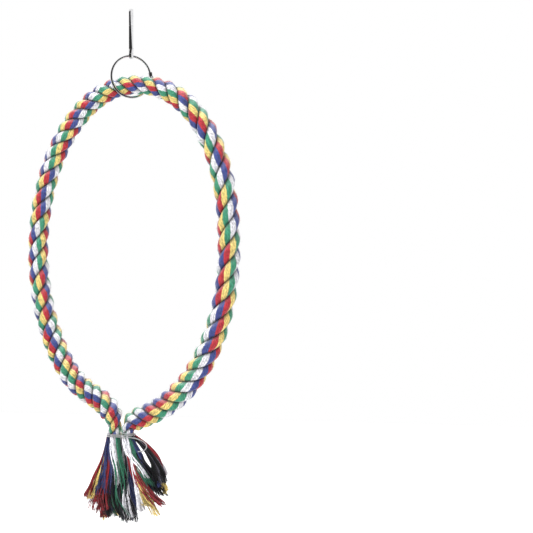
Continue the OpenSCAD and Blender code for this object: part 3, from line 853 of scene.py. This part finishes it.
def strand_tree(material):
    """Sweeps the strand outline along the rope's centreline with the lay's turn, and raises its yarns."""
    inputs = {"Outline": "Object", "Rings": "Int"}
    inputs |= {"Start turn": "Float", "Colour period": "Float", "Yarn relief": "Float"}
    tree, given, out = new_tree("laid strand", GEOMETRY | inputs)
    line = resampled(tree, curve_of(tree, given["Geometry"]), given["Rings"])
    line = made(tree, "GeometryNodeSetCurveNormal", {"Curve": line, "Normal": (0, 1, 0)}, mode="FREE")
    turn = plus(tree, named(tree, "turn"), given["Start turn"])
    line = made(tree, "GeometryNodeSetCurveTilt", {"Curve": line, "Tilt": turn})
    outline = add_node(tree, "GeometryNodeObjectInfo", {"Object": given["Outline"]})
    outline = curve_of(tree, outline.outputs["Geometry"])
    strand = swept(tree, line, outline, named(tree, "rope_radius"))
    band = calc(tree, "DIVIDE", named(tree, "yarn_turn"), given["Colour period"])
    band = plus(tree, band, named(tree, "colour_turn"))
    strand = store(tree, strand, "band", band)
    # painted light from above: the more a side faces up, the paler the material makes it
    up = add_node(tree, "ShaderNodeSeparateXYZ", {"Vector": normal(tree)}).outputs[2]
    strand = store(tree, strand, "faded", mapped(tree, up, TOP_LIGHT_FROM, 1.0, 0.0, 1.0))
    # each colour is a rounded ridge, shallower towards the valley
    ridge = calc(tree, "ABSOLUTE", calc(tree, "SINE", times(tree, band, len(ROPE_DYES) * math.pi)))
    ridge = plus(tree, calc(tree, "POWER", ridge, RIDGE_POWER), -1.0)
    lump = plus(tree, noise(tree, position(tree), LUMP_SCALE, 2.0)[0], -0.5)
    lift = weighted_sum(tree, (ridge, given["Yarn relief"]), (lump, LUMP_DEPTH))
    lift = times(tree, lift, named(tree, "crown"))
    finish_tree(tree, out, shifted(tree, strand, scaled(tree, normal(tree), lift)), material)
    return tree


# Loose fibres: how near the ring they are rubbed off, in millimetres, and the bow of one, in its own lengths
RUBBED_HALF = 18.0
BARE_CROWN = 0.25
FIBRE_BOW = {
    "Resolution": 4, "Start": (0, 0, -0.1), "Start Handle": (0.1, 0, 0.25), "End Handle": (0.45, 0.1, 0.45),
    "End": (0.9, 0.35, 0.32),
}
FIBRE_RADIUS, FIBRE_TILT, SHORTEST_FIBRE = 0.022, 0.5, 0.35
SQUARE_CM = 1e-4


def fuzz_tree(material):
    """Scatters short curved fibres over a strand; each takes the colour band under it."""
    inputs = {"Density": "Float", "Length": "Float", "Seed": "Int"}
    tree, given, out = new_tree("loose fibres", GEOMETRY | inputs)
    seed = given["Seed"]
    # the ring rubs the fibres off where it goes round the rope
    where = add_node(tree, "ShaderNodeSeparateXYZ", {"Vector": position(tree)})
    clear = calc(tree, "GREATER_THAN", calc(tree, "ABSOLUTE", where.outputs[0]), RUBBED_HALF * MM)
    clear = calc(tree, "MAXIMUM", clear, calc(tree, "LESS_THAN", where.outputs[2], LOOP_MID_Z * MM))
    spots = add_node(tree, "GeometryNodeDistributePointsOnFaces", {
        "Mesh": given["Geometry"], "Density": given["Density"], "Seed": seed,
        "Selection": times(tree, clear, calc(tree, "GREATER_THAN", named(tree, "crown"), BARE_CROWN)),
    })
    bow = made(tree, "GeometryNodeCurvePrimitiveBezierSegment", FIBRE_BOW)
    outline = circle(tree, 3, FIBRE_RADIUS)
    fibre = made(tree, "GeometryNodeCurveToMesh", {"Curve": bow, "Profile Curve": outline})
    least, most = (-FIBRE_TILT, -FIBRE_TILT, -math.pi), (FIBRE_TILT, FIBRE_TILT, math.pi)
    spin = made(tree, "FunctionNodeRandomValue", {0: least, 1: most, "Seed": seed}, data_type="FLOAT_VECTOR")
    turn = {"Rotation": spots.outputs["Rotation"], "Rotate By": spin}
    turn = made(tree, "FunctionNodeRotateRotation", turn, rotation_space="LOCAL")
    size = {2: SHORTEST_FIBRE, 3: 1.0, "Seed": seed}
    size = add_node(tree, "FunctionNodeRandomValue", size, data_type="FLOAT").outputs[1]
    placed = add_node(tree, "GeometryNodeInstanceOnPoints", {
        "Points": spots.outputs[0], "Instance": fibre, "Rotation": turn,
        "Scale": times(tree, size, given["Length"]),
    })
    finish_tree(tree, out, placed.outputs[0], material)
    return tree


class SWING_OT_rope(bpy.types.Operator):
    """Lay the three cotton strands of the rope along the loop, with their loose fibres"""

    bl_idname = "swing.rope"
    bl_label = "Rope"

    def execute(self, context):
        rope = context.scene.swing_rope
        material = shared("laid cotton rope", rope_material, cotton(), context.scene.swing_colours)
        points, turns, crowns = strand_outline(rope.across)
        closed = [(i, (i + 1) % len(points)) for i in range(len(points))]
        outline = line_object("strand outline", points, {"yarn_turn": turns, "crown": crowns}, closed)
        tree = strand_tree(material)
        fuzz = fuzz_tree(material)
        steps = [ROPE_LENGTH * i / STRAND_COUNT for i in range(STRAND_COUNT + 1)]
        centre = [rope_point(s) * MM for s in steps]
        radii = [ROPE_R * MM * lookup(s / ROPE_LENGTH, RADIUS_SHARES) for s in steps]
        spins = [math.radians(lookup(s, TURN_AT)) for s in steps]
        pieces = []
        for node, start, slips in zip(STRANDS, STRAND_STARTS, YARN_SLIPS):
            table = list(zip(SLIP_SHARES, slips))
            slipped = [lookup(s / ROPE_LENGTH, table) for s in steps]
            source = line_object(node + " line", centre, {
                "rope_radius": radii, "turn": spins, "along": [s * MM for s in steps],
                "colour_turn": [spin / rope.colour_drift + slip for spin, slip in zip(spins, slipped)],
            })
            piece = run_tree(node.replace("strand", "yarns"), source, tree, {
                "Outline": outline, "Start turn": math.radians(start), "Colour period": rope.colour_period,
                "Yarn relief": rope.yarn_relief, "Rings": rope.rings,
            })
            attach(piece, "rope")
            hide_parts(node)
            pieces.append(piece)
        bpy.data.objects.remove(outline)
        for i, piece in enumerate(pieces):
            source = piece.copy()
            source.parent = None
            context.scene.collection.objects.link(source)
            fibres = run_tree(piece.name.replace("yarns", "fuzz"), source, fuzz, {
                "Density": rope.fuzz_count / SQUARE_CM, "Length": rope.fuzz_length, "Seed": i,
            })
            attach(fibres, "rope")
        return {"FINISHED"}


# Tassel

# A bundle's line and yarns: points along it, how it widens, and how far and fast its yarns turn and waver
LINE_POINTS, YARN_SIDES = 18, 5
BUNDLE_SWELL, YARN_TURN, LEAST_TURN = 0.55, 2.6, 0.4
WAVER_SCALE, WAVER_DRIFT, YARN_WAVER, PLY_WAVER = 38.0, 40.0, 9.0, 3.0
SHORTEST_YARN, TAPER, TAPER_POWER = 0.80, 0.55, 3.0
# The frayed plies at a yarn's end: where they part, their number, points and sides, spread, turn and size
PLY_START, PLIES, PLY_POINTS, PLY_SIDES = 0.72, 4, 5, 3
PLY_ROOT, PLY_SPREAD, PLY_TURN, PLY_SIZE = 0.15, 2.6, 1.0, 0.34
# The first of the seed numbers of the yarns, of their lengths and tones, and of the plies
YARN_DRAWS, LENGTH_DRAW, TONE_DRAW, PLY_DRAWS = 1, 11, 12, 21


def tassel_tree(name, material):
    """Fills each guide line with yarns that spread, waver and end in thin loose plies."""
    inputs = {"Yarns": "Int", "Yarn radius": "Float", "Wobble": "Float", "Seed": "Int"}
    tree, given, out = new_tree(name, GEOMETRY | inputs)
    yarn_radius, wobble = given["Yarn radius"], given["Wobble"]
    spline = add_node(tree, "GeometryNodeSplineParameter")
    share, length = spline.outputs["Factor"], spline.outputs["Length"]

    def draw(low, high, number):
        """A random value for each line, with a seed number of its own."""
        index = made(tree, "GeometryNodeCurveOfPoint")
        inputs = {2: low, 3: high, "ID": index, "Seed": plus(tree, given["Seed"], float(number))}
        return add_node(tree, "FunctionNodeRandomValue", inputs, data_type="FLOAT").outputs[1]

    def scatter(lines, amount, number, spread, reach, twist):
        """Copies of each line, each moved off it by an offset that turns as it goes, and by a waver."""
        many = {"Geometry": lines, "Amount": amount}
        many = made(tree, "GeometryNodeDuplicateElements", many, domain="SPLINE")
        turn = times(tree, share, draw(twist * LEAST_TURN, twist, number + 5))
        turn = plus(tree, draw(0.0, 2 * math.pi, number), turn)
        off = times(tree, calc(tree, "SQRT", draw(0.02, 1.0, number + 1)), spread)
        aside = [times(tree, off, calc(tree, wave, turn)) for wave in ("COSINE", "SINE")]
        drift = xyz(tree, *[draw(-WAVER_DRIFT, WAVER_DRIFT, number + i) for i in (2, 3)])
        place = vector_calc(tree, "ADD", scaled(tree, position(tree), WAVER_SCALE), drift)
        waver = vector_calc(tree, "SUBTRACT", noise(tree, place, 1.0, 1.0)[1], (0.5, 0.5, 0.5))
        offset = vector_calc(tree, "ADD", xyz(tree, *aside), scaled(tree, waver, reach))
        return shifted(tree, many, offset)

    def threads(lines, radius, sides):
        """A thin tube along each line, with its place round it stored."""
        index = made(tree, "GeometryNodeInputIndex")
        around = calc(tree, "PINGPONG", calc(tree, "DIVIDE", index, sides), 0.5)
        return swept(tree, lines, store(tree, circle(tree, sides), "around", around), radius)

    lines = resampled(tree, curve_of(tree, given["Geometry"]), LINE_POINTS)
    spread = plus(tree, times(tree, share, BUNDLE_SWELL), 1.0)
    yarns = scatter(
        lines, given["Yarns"], YARN_DRAWS, times(tree, named(tree, "bundle_radius"), spread),
        times(tree, calc(tree, "POWER", share, 2.0), times(tree, wobble, YARN_WAVER)), YARN_TURN,
    )
    shortened = {"Curve": yarns, 2: 0.0, 3: draw(SHORTEST_YARN, 1.0, LENGTH_DRAW)}
    yarns = made(tree, "GeometryNodeTrimCurve", shortened, mode="FACTOR")
    yarns = store(tree, yarns, "tone", draw(0.0, 1.0, TONE_DRAW))
    yarns = store(tree, yarns, "along", length)
    taper = times(tree, calc(tree, "POWER", share, TAPER_POWER), TAPER)
    body = threads(yarns, times(tree, yarn_radius, calc(tree, "SUBTRACT", 1.0, taper)), YARN_SIDES)
    ends = made(tree, "GeometryNodeTrimCurve", {"Curve": yarns, 2: PLY_START, 3: 1.0}, mode="FACTOR")
    plies = scatter(
        resampled(tree, ends, PLY_POINTS), PLIES, PLY_DRAWS,
        times(tree, plus(tree, share, PLY_ROOT), times(tree, yarn_radius, PLY_SPREAD)),
        times(tree, share, times(tree, wobble, PLY_WAVER)), PLY_TURN,
    )
    thin = threads(plies, times(tree, yarn_radius, PLY_SIZE), PLY_SIDES)
    both = tree.nodes.new("GeometryNodeJoinGeometry")
    for part in (body, thin):
        tree.links.new(part, both.inputs[0])
    finish_tree(tree, out, both.outputs[0], material)
    return tree


# The tails as the solids have them, by end and strand or by colour, in millimetres and degrees
TAIL_LENGTH, TAIL_SPREAD, TAIL_D = 79.0, 3.5, 6.5
TAIL_LENGTH_SHARES = ((0.80, 0.90, 1.0), (0.96, 0.64, 0.82))
TAIL_SHIFT_SHARES = ((0.0, 0.0, 0.06), (0.0, 0.114, 0.0))
# Each colour's ring at the rope's end, inner or outer, and its turn from its strand's middle
TAIL_SLOTS = ((1, 45), (1, -45), (1, -15), (1, 15), (0, 30), (0, -30))
TAIL_SHARES, TAIL_SLOT_SHARE = (0.36, 0.74), 0.185
ARCH_POWER, FLARE_POWER = 2.0, 1.35
# The yarns in them: their start above the tie, their sway sideways and in depth, its waves, and their twist
TAIL_RISE, TAIL_SWAY, SWAY_DEPTH, TAIL_WAVES = 3.0, 3.5, 0.3, (0.9, 1.6)
TAIL_TWIST, TWIST_SPREAD = 75.0, 18.0
# the cut yarns run a little past their guide lines
TIP_SHARE = 0.96
# the core yarns, black and yellow, come out to the tassel's surface by this share of the rope end
CORE_RISE, CORE_POWER = 0.55, 0.7
# at the tie a wide bundle keeps inside the wire, and at its tips it may stand this much further out
INSIDE_SHARE, INSIDE_GAIN = 0.8, 3.0
# a wide white bundle narrows again from this share of its length on, over this share of it
NARROW_FROM, NARROW_OVER = 0.15, 0.6
GUIDE_STEPS = 16
# lean of each strand's yarns at their tips, and how far they spring out under the tie, in millimetres
SIDE_LEAN = (((3.0, 0.0), (3.0, 0.0), (3.0, 0.0)), ((2.0, 0.0), (-12.0, 16.0), (3.0, 0.0)))
SPRING_POWER = 4
BUNDLE_WIDTHS = {"red": 1.15, "blue": 1.1, "white": 1.3, "green": 1.2, "yellow": 1.0, "black": 1.5}
YARN_SHARES = {"red": 1.4, "blue": 1.3, "white": 1.6, "green": 1.4, "yellow": 0.9, "black": 1.8}
# bundles that show: turn, width, distance from the middle at tie and tips, length, lean, share of the twist
PLAIN_FACE = (0.0, 1.0, (1.0, 1.0), 1.0, 0.0, 1.0)
BUNDLE_FACES = {
    (0, 0, "red"): ((-4.0, 1.7, (1.0, 1.2), 1.0, -1.0, 0.5),),
    (0, 0, "yellow"): ((4.0, 1.3, (1.2, 1.2), 1.0, 0.0, 0.5),),
    (0, 0, "blue"): ((0.0, 0.8, (0.8, 0.8), 1.0, -3.0, 0.5),),
    (0, 0, "black"): ((0.0, 0.6, (0.9, 0.9), 0.88, 2.0, 0.5),),
    (0, 0, "green"): ((-20.0, 0.8, (0.8, 0.8), 0.9, -2.0, 0.4),),
    (0, 1, "blue"): ((-2.0, 2.3, (1.05, 1.2), 0.80, 1.0, 0.6),),
    (0, 1, "white"): ((15.0, 2.1, (1.0, 1.0), 0.70, 1.0, 1.0),),
    (0, 1, "green"): ((27.0, 2.1, (1.1, 1.4), 1.06, 4.0, 0.2),),
    (0, 1, "red"): ((-66.0, 1.8, (0.2, 1.25), 1.0, 1.0, 0.5),),
    (0, 1, "black"): ((30.0, 1.2, (0.7, 1.0), 1.0, 3.0, 0.7),),
    (0, 2, "blue"): ((0.0, 0.8, (0.5, 0.5), 0.9, -3.0, 1.0),),
    (1, 0, "blue"): ((0.0, 0.8, (0.4, 0.4), 1.0, 0.0, 0.5),),
    (1, 2, "white"): ((28.0, 2.1, (1.0, 1.0), 0.68, 4.0, 1.0), (-18.0, 0.4, (1.3, 1.5), 1.10, 5.0, 0.0)),
    (1, 2, "green"): ((-58.0, 1.4, (1.0, 1.0), 0.75, 4.0, 0.6),),
    (1, 2, "blue"): ((-32.0, 1.8, (1.1, 1.1), 0.76, 2.0, 0.6),),
    (1, 2, "black"): ((-45.0, 1.2, (1.5, 1.5), 0.82, 2.0, 0.6),),
    (1, 2, "red"): ((-35.0, 1.9, (0.5, 1.2), 1.0, 8.0, 0.7),),
    (1, 2, "yellow"): ((-15.0, 1.4, (0.6, 1.3), 1.05, 12.0, 0.8),),
    (1, 1, "black"): ((74.0, 1.2, (2.2, 1.6), 0.84, 0.0, 0.3),),
    (1, 1, "red"): ((-30.0, 1.5, (1.15, 1.15), 0.75, 2.0, 0.3),),
    (1, 1, "blue"): ((48.0, 1.4, (1.2, 1.2), 0.86, 0.0, 0.3),),
    (1, 1, "white"): ((20.0, 0.5, (1.6, 1.7), 0.9, -2.0, 0.3),),
    (1, 1, "green"): ((-5.0, 0.8, (0.7, 0.7), 1.0, -2.0, 0.8),),
}


def bundle_guide(side, strand, colour, face, rng):
    """Guide line of one bundle of one rope end: x, y, z and the bundle's radius at each point, in metres."""
    turn_shift, width, out, long, lean, turning = face
    label = COLOURS[colour]
    outer, off = TAIL_SLOTS[colour]
    swing, spring = SIDE_LEAN[side][strand]
    way = 1 if side else -1
    length = TAIL_LENGTH * TAIL_LENGTH_SHARES[side][strand] * long * TIP_SHARE
    first_turn = STRAND_STARTS[strand] + off + turn_shift + (TURNS[-1] if side else 0)
    twist = -way * TAIL_TWIST * turning + rng.uniform(-TWIST_SPREAD, TWIST_SPREAD)
    sway_x, sway_y = rng.uniform(-TAIL_SWAY, TAIL_SWAY), rng.uniform(-TAIL_SWAY, TAIL_SWAY)
    waves, phase = rng.uniform(*TAIL_WAVES), rng.uniform(0, 2 * math.pi)
    line = []
    for k in range(GUIDE_STEPS + 1):
        t = k / GUIDE_STEPS
        turn = math.radians(first_turn + twist * t)
        fan = 1 + (TAIL_SPREAD - 1) * (t * length / TAIL_LENGTH) ** FLARE_POWER
        wide = width
        if label == "white":
            wide -= max(0, width - 1) * min(1, max(0, t - NARROW_FROM) / NARROW_OVER)
        room = min(END_D * TAIL_SLOT_SHARE / 2 * fan, TAIL_D / 2) * BUNDLE_WIDTHS[label] * wide
        ring = TAIL_SHARES[outer] + (0 if outer else CORE_RISE * t ** CORE_POWER)
        r = END_D / 2 * ring * (out[0] + (out[1] - out[0]) * t)
        r = min(r, END_D / 2 - INSIDE_SHARE * room / fan + INSIDE_GAIN * t)
        ease = 1 - (1 - t) ** ARCH_POWER if side else t ** FLARE_POWER
        wave = t * math.sin(2 * math.pi * waves * t + phase)
        x = -TIE_LEFT + way * (END_HALF + r * math.sin(turn)) * fan
        x += TAIL_LENGTH * TAIL_SHIFT_SHARES[side][strand] * ease + sway_x * wave
        x += (lean + swing) * t + spring * (1 - (1 - t) ** SPRING_POWER)
        y = r * math.cos(turn) * fan + sway_y * wave * SWAY_DEPTH
        z = TIE_Z + TAIL_RISE - (length + TAIL_RISE) * t
        line.append((x * MM, y * MM, z * MM, room * MM))
    return line


def tail_guides(side, colour, rng):
    """Guide lines of all bundles of one rope end and colour."""
    guides = []
    for strand in range(len(STRANDS)):
        for face in BUNDLE_FACES.get((side, strand, COLOURS[colour]), (PLAIN_FACE,)):
            guides.append(bundle_guide(side, strand, colour, face, rng))
    return guides


# Seeds of two tails' yarns lie this far apart
SEED_STEP = 100


class SWING_OT_tassel(bpy.types.Operator):
    """Fill the tails of both rope ends with loose frayed yarns"""

    bl_idname = "swing.tassel"
    bl_label = "Tassel"

    def execute(self, context):
        settings = context.scene.swing_tassel
        colours = context.scene.swing_colours
        rng = random.Random(settings.seed)
        for number, node in enumerate(TAIL_NODES):
            side, colour = divmod(number, len(COLOURS))
            label = COLOURS[colour]
            material = shared("yarn " + label, yarn_material, cotton(), label, getattr(colours, label))
            points, edges, radii = [], [], []
            for line in tail_guides(side, colour, rng):
                first = len(points)
                points += [p[:3] for p in line]
                radii += [p[3] for p in line]
                edges += [(first + i, first + i + 1) for i in range(len(line) - 1)]
            source = line_object(node + " guides", points, {"bundle_radius": radii}, edges)
            tree = shared("yarn bundle " + label, tassel_tree, material)
            piece = run_tree(node + "_yarns", source, tree, {
                "Yarns": round(settings.yarns * YARN_SHARES[label]), "Yarn radius": settings.yarn_radius,
                "Wobble": settings.wobble, "Seed": settings.seed + SEED_STEP * number,
            })
            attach(piece, "rope")
            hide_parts(node)
        return {"FINISHED"}


# Tie wire

# The loose end: how far it reaches, comes back in, forwards and down, its steps, and the tip, in millimetres
LOOSE_OUT, LOOSE_IN, LOOSE_BACK, LOOSE_DROP, LOOSE_STEPS, TIP_LENGTH = 26.0, 14.0, 4.0, 12.0, 10, 3.0
# The wire's mesh, its scratches, and how much rougher it is than the plate
WIRE_RINGS, WIRE_SIDES, WIRE_SCRATCH, WIRE_DULL = 320, 12, 0.25, 2.6


def tie_path():
    """The tie wire's middle line: a short tip, the turns round both rope ends, and the loose end."""
    reach = END_D / 2 + TIE_CLEAR + TIE_WIRE_D / 2

    def at(turn):
        """Point of the wound wire at a turn from its top."""
        around = math.radians(TIE_START + turn)
        along = END_HALF if math.cos(around) >= -1e-9 else -END_HALF
        z = TIE_Z + TIE_RISE + TIE_WIRE_D / 2 + TIE_PITCH * (TIE_TURNS - turn / 360)
        return Vector((-TIE_LEFT + along + reach * math.cos(around), reach * math.sin(around), z))

    wound = [at(360 * i / TIE_STEPS) for i in range(TIE_TURNS * TIE_STEPS + 1)]
    tip = wound[0] - (wound[1] - wound[0]).normalized() * TIP_LENGTH + Vector((0, -TIE_WIRE_D, TIE_WIRE_D))
    last = wound[-1]
    off = (last - wound[-2]).normalized()
    curl = (
        last, last + off * LOOSE_OUT, last + Vector((LOOSE_OUT, -LOOSE_BACK, -LOOSE_DROP)),
        last + Vector((LOOSE_IN, -LOOSE_BACK, -LOOSE_DROP)),
    )
    return [tip] + wound + [bezier(curl, i / LOOSE_STEPS) for i in range(1, LOOSE_STEPS + 1)]


def wire_tree(material):
    """A round wire along a line."""
    tree, given, out = new_tree("round wire", GEOMETRY | {"Wire radius": "Float", "Rings": "Int"})
    line = curve_of(tree, given["Geometry"])
    line = made(tree, "GeometryNodeCurveSplineType", {"Curve": line}, spline_type="CATMULL_ROM")
    line = resampled(tree, line, given["Rings"])
    finish_tree(tree, out, swept(tree, line, circle(tree, WIRE_SIDES), given["Wire radius"]), material)
    return tree


class SWING_OT_tie_wire(bpy.types.Operator):
    """Wind the tie wire round both rope ends"""

    bl_idname = "swing.tie_wire"
    bl_label = "Tie wire"

    def execute(self, context):
        source = line_object("tie wire line", [p * MM for p in tie_path()], {})
        metal = context.scene.swing_metal
        material = shared("tie wire steel", steel_material, metal, WIRE_SCRATCH, False, WIRE_DULL)
        sizes = {"Wire radius": TIE_WIRE_D / 2 * MM, "Rings": WIRE_RINGS}
        piece = run_tree("tie_wire_round", source, wire_tree(material), sizes)
        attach(piece, "rope")
        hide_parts("tie_wire")
        return {"FINISHED"}


# Hook and ring

# Facets are merged up to a distance in metres and an angle in degrees, and stay sharp past another
MERGE_DISTANCE, FLAT_ANGLE, SHARP_ANGLE, FACE_WEIGHT = 2e-6, 0.5, 35, 100
HOOK_SCRATCH, RING_SCRATCH = 0.015, 0.04


def polish(node, name, body, material):
    """A smooth copy of a metal node, its facets merged, that stands in for it."""
    mesh = bpy.data.meshes.new(name)
    work = bmesh.new()
    work.from_mesh(frame["nodes"][node].data)
    bmesh.ops.remove_doubles(work, verts=work.verts, dist=MERGE_DISTANCE)
    bmesh.ops.dissolve_limit(work, angle_limit=math.radians(FLAT_ANGLE), verts=work.verts, edges=work.edges)
    work.to_mesh(mesh)
    work.free()
    mesh.materials.clear()
    mesh.materials.append(material)
    mesh.shade_smooth()
    mesh.set_sharp_from_angle(angle=math.radians(SHARP_ANGLE))
    piece = bpy.data.objects.new(name, mesh)
    bpy.context.scene.collection.objects.link(piece)
    # flat faces stay flat beside the bends
    weight = piece.modifiers.new("face weights", "WEIGHTED_NORMAL")
    weight.keep_sharp = True
    weight.weight = FACE_WEIGHT
    done = bpy.data.meshes.new_from_object(piece.evaluated_get(bpy.context.evaluated_depsgraph_get()))
    piece.modifiers.clear()
    piece.data = done
    done.name = name
    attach(piece, body)
    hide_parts(node)


class SWING_OT_hook(bpy.types.Operator):
    """Finish the snap hook and its gate in bright plate"""

    bl_idname = "swing.hook"
    bl_label = "Snap hook"

    def execute(self, context):
        metal = context.scene.swing_metal
        material = shared("hook plate", steel_material, metal, HOOK_SCRATCH, True)
        polish("hook_body", "hook_body_polished", "hook", material)
        polish("hook_gate", "hook_gate_polished", "gate", material)
        return {"FINISHED"}


class SWING_OT_ring(bpy.types.Operator):
    """Finish the hinged ring and its rivet in bright plate"""

    bl_idname = "swing.ring"
    bl_label = "Hinged ring"

    def execute(self, context):
        metal = context.scene.swing_metal
        material = shared("ring plate", steel_material, metal, RING_SCRATCH)
        polish("ring_upper_half", "ring_upper_polished", "ring", material)
        polish("ring_rivet", "ring_rivet_polished", "ring", material)
        polish("ring_lower_half", "ring_lower_polished", "ring_lower", material)
        return {"FINISHED"}


class SWING_PT_panel(bpy.types.Panel):
    """Lists the swing's pieces and sizes in the sidebar"""

    bl_idname = "SWING_PT_panel"
    bl_label = "Bird swing"
    bl_space_type = "VIEW_3D"
    bl_region_type = "UI"
    bl_category = "Bird swing"

    def draw(self, context):
        for group in SETTINGS:
            box = self.layout.box()
            box.label(text=group.replace("swing_", "").capitalize())
            settings = getattr(context.scene, group)
            for key in settings.__annotations__:
                box.prop(settings, key)
        for operator in OPERATORS:
            self.layout.operator(operator.bl_idname)


OPERATORS = (SWING_OT_stage, SWING_OT_rope, SWING_OT_tassel, SWING_OT_tie_wire, SWING_OT_hook, SWING_OT_ring)


def register():
    """Registers the settings, the operators and the panel."""
    for group, kind in SETTINGS.items():
        bpy.utils.register_class(kind)
        setattr(bpy.types.Scene, group, bpy.props.PointerProperty(type=kind))
    for kind in OPERATORS:
        bpy.utils.register_class(kind)
    bpy.utils.register_class(SWING_PT_panel)


def unregister():
    """Takes the panel, the operators and the settings off again."""
    bpy.utils.unregister_class(SWING_PT_panel)
    for kind in reversed(OPERATORS):
        bpy.utils.unregister_class(kind)
    for group, kind in reversed(list(SETTINGS.items())):
        delattr(bpy.types.Scene, group)
        bpy.utils.unregister_class(kind)


def main():
    """Builds the whole swing."""
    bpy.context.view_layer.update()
    register()
    bpy.ops.swing.stage()
    bpy.ops.swing.rope()
    bpy.ops.swing.tassel()
    bpy.ops.swing.tie_wire()
    bpy.ops.swing.hook()
    bpy.ops.swing.ring()


if __name__ == "__main__":
    main()
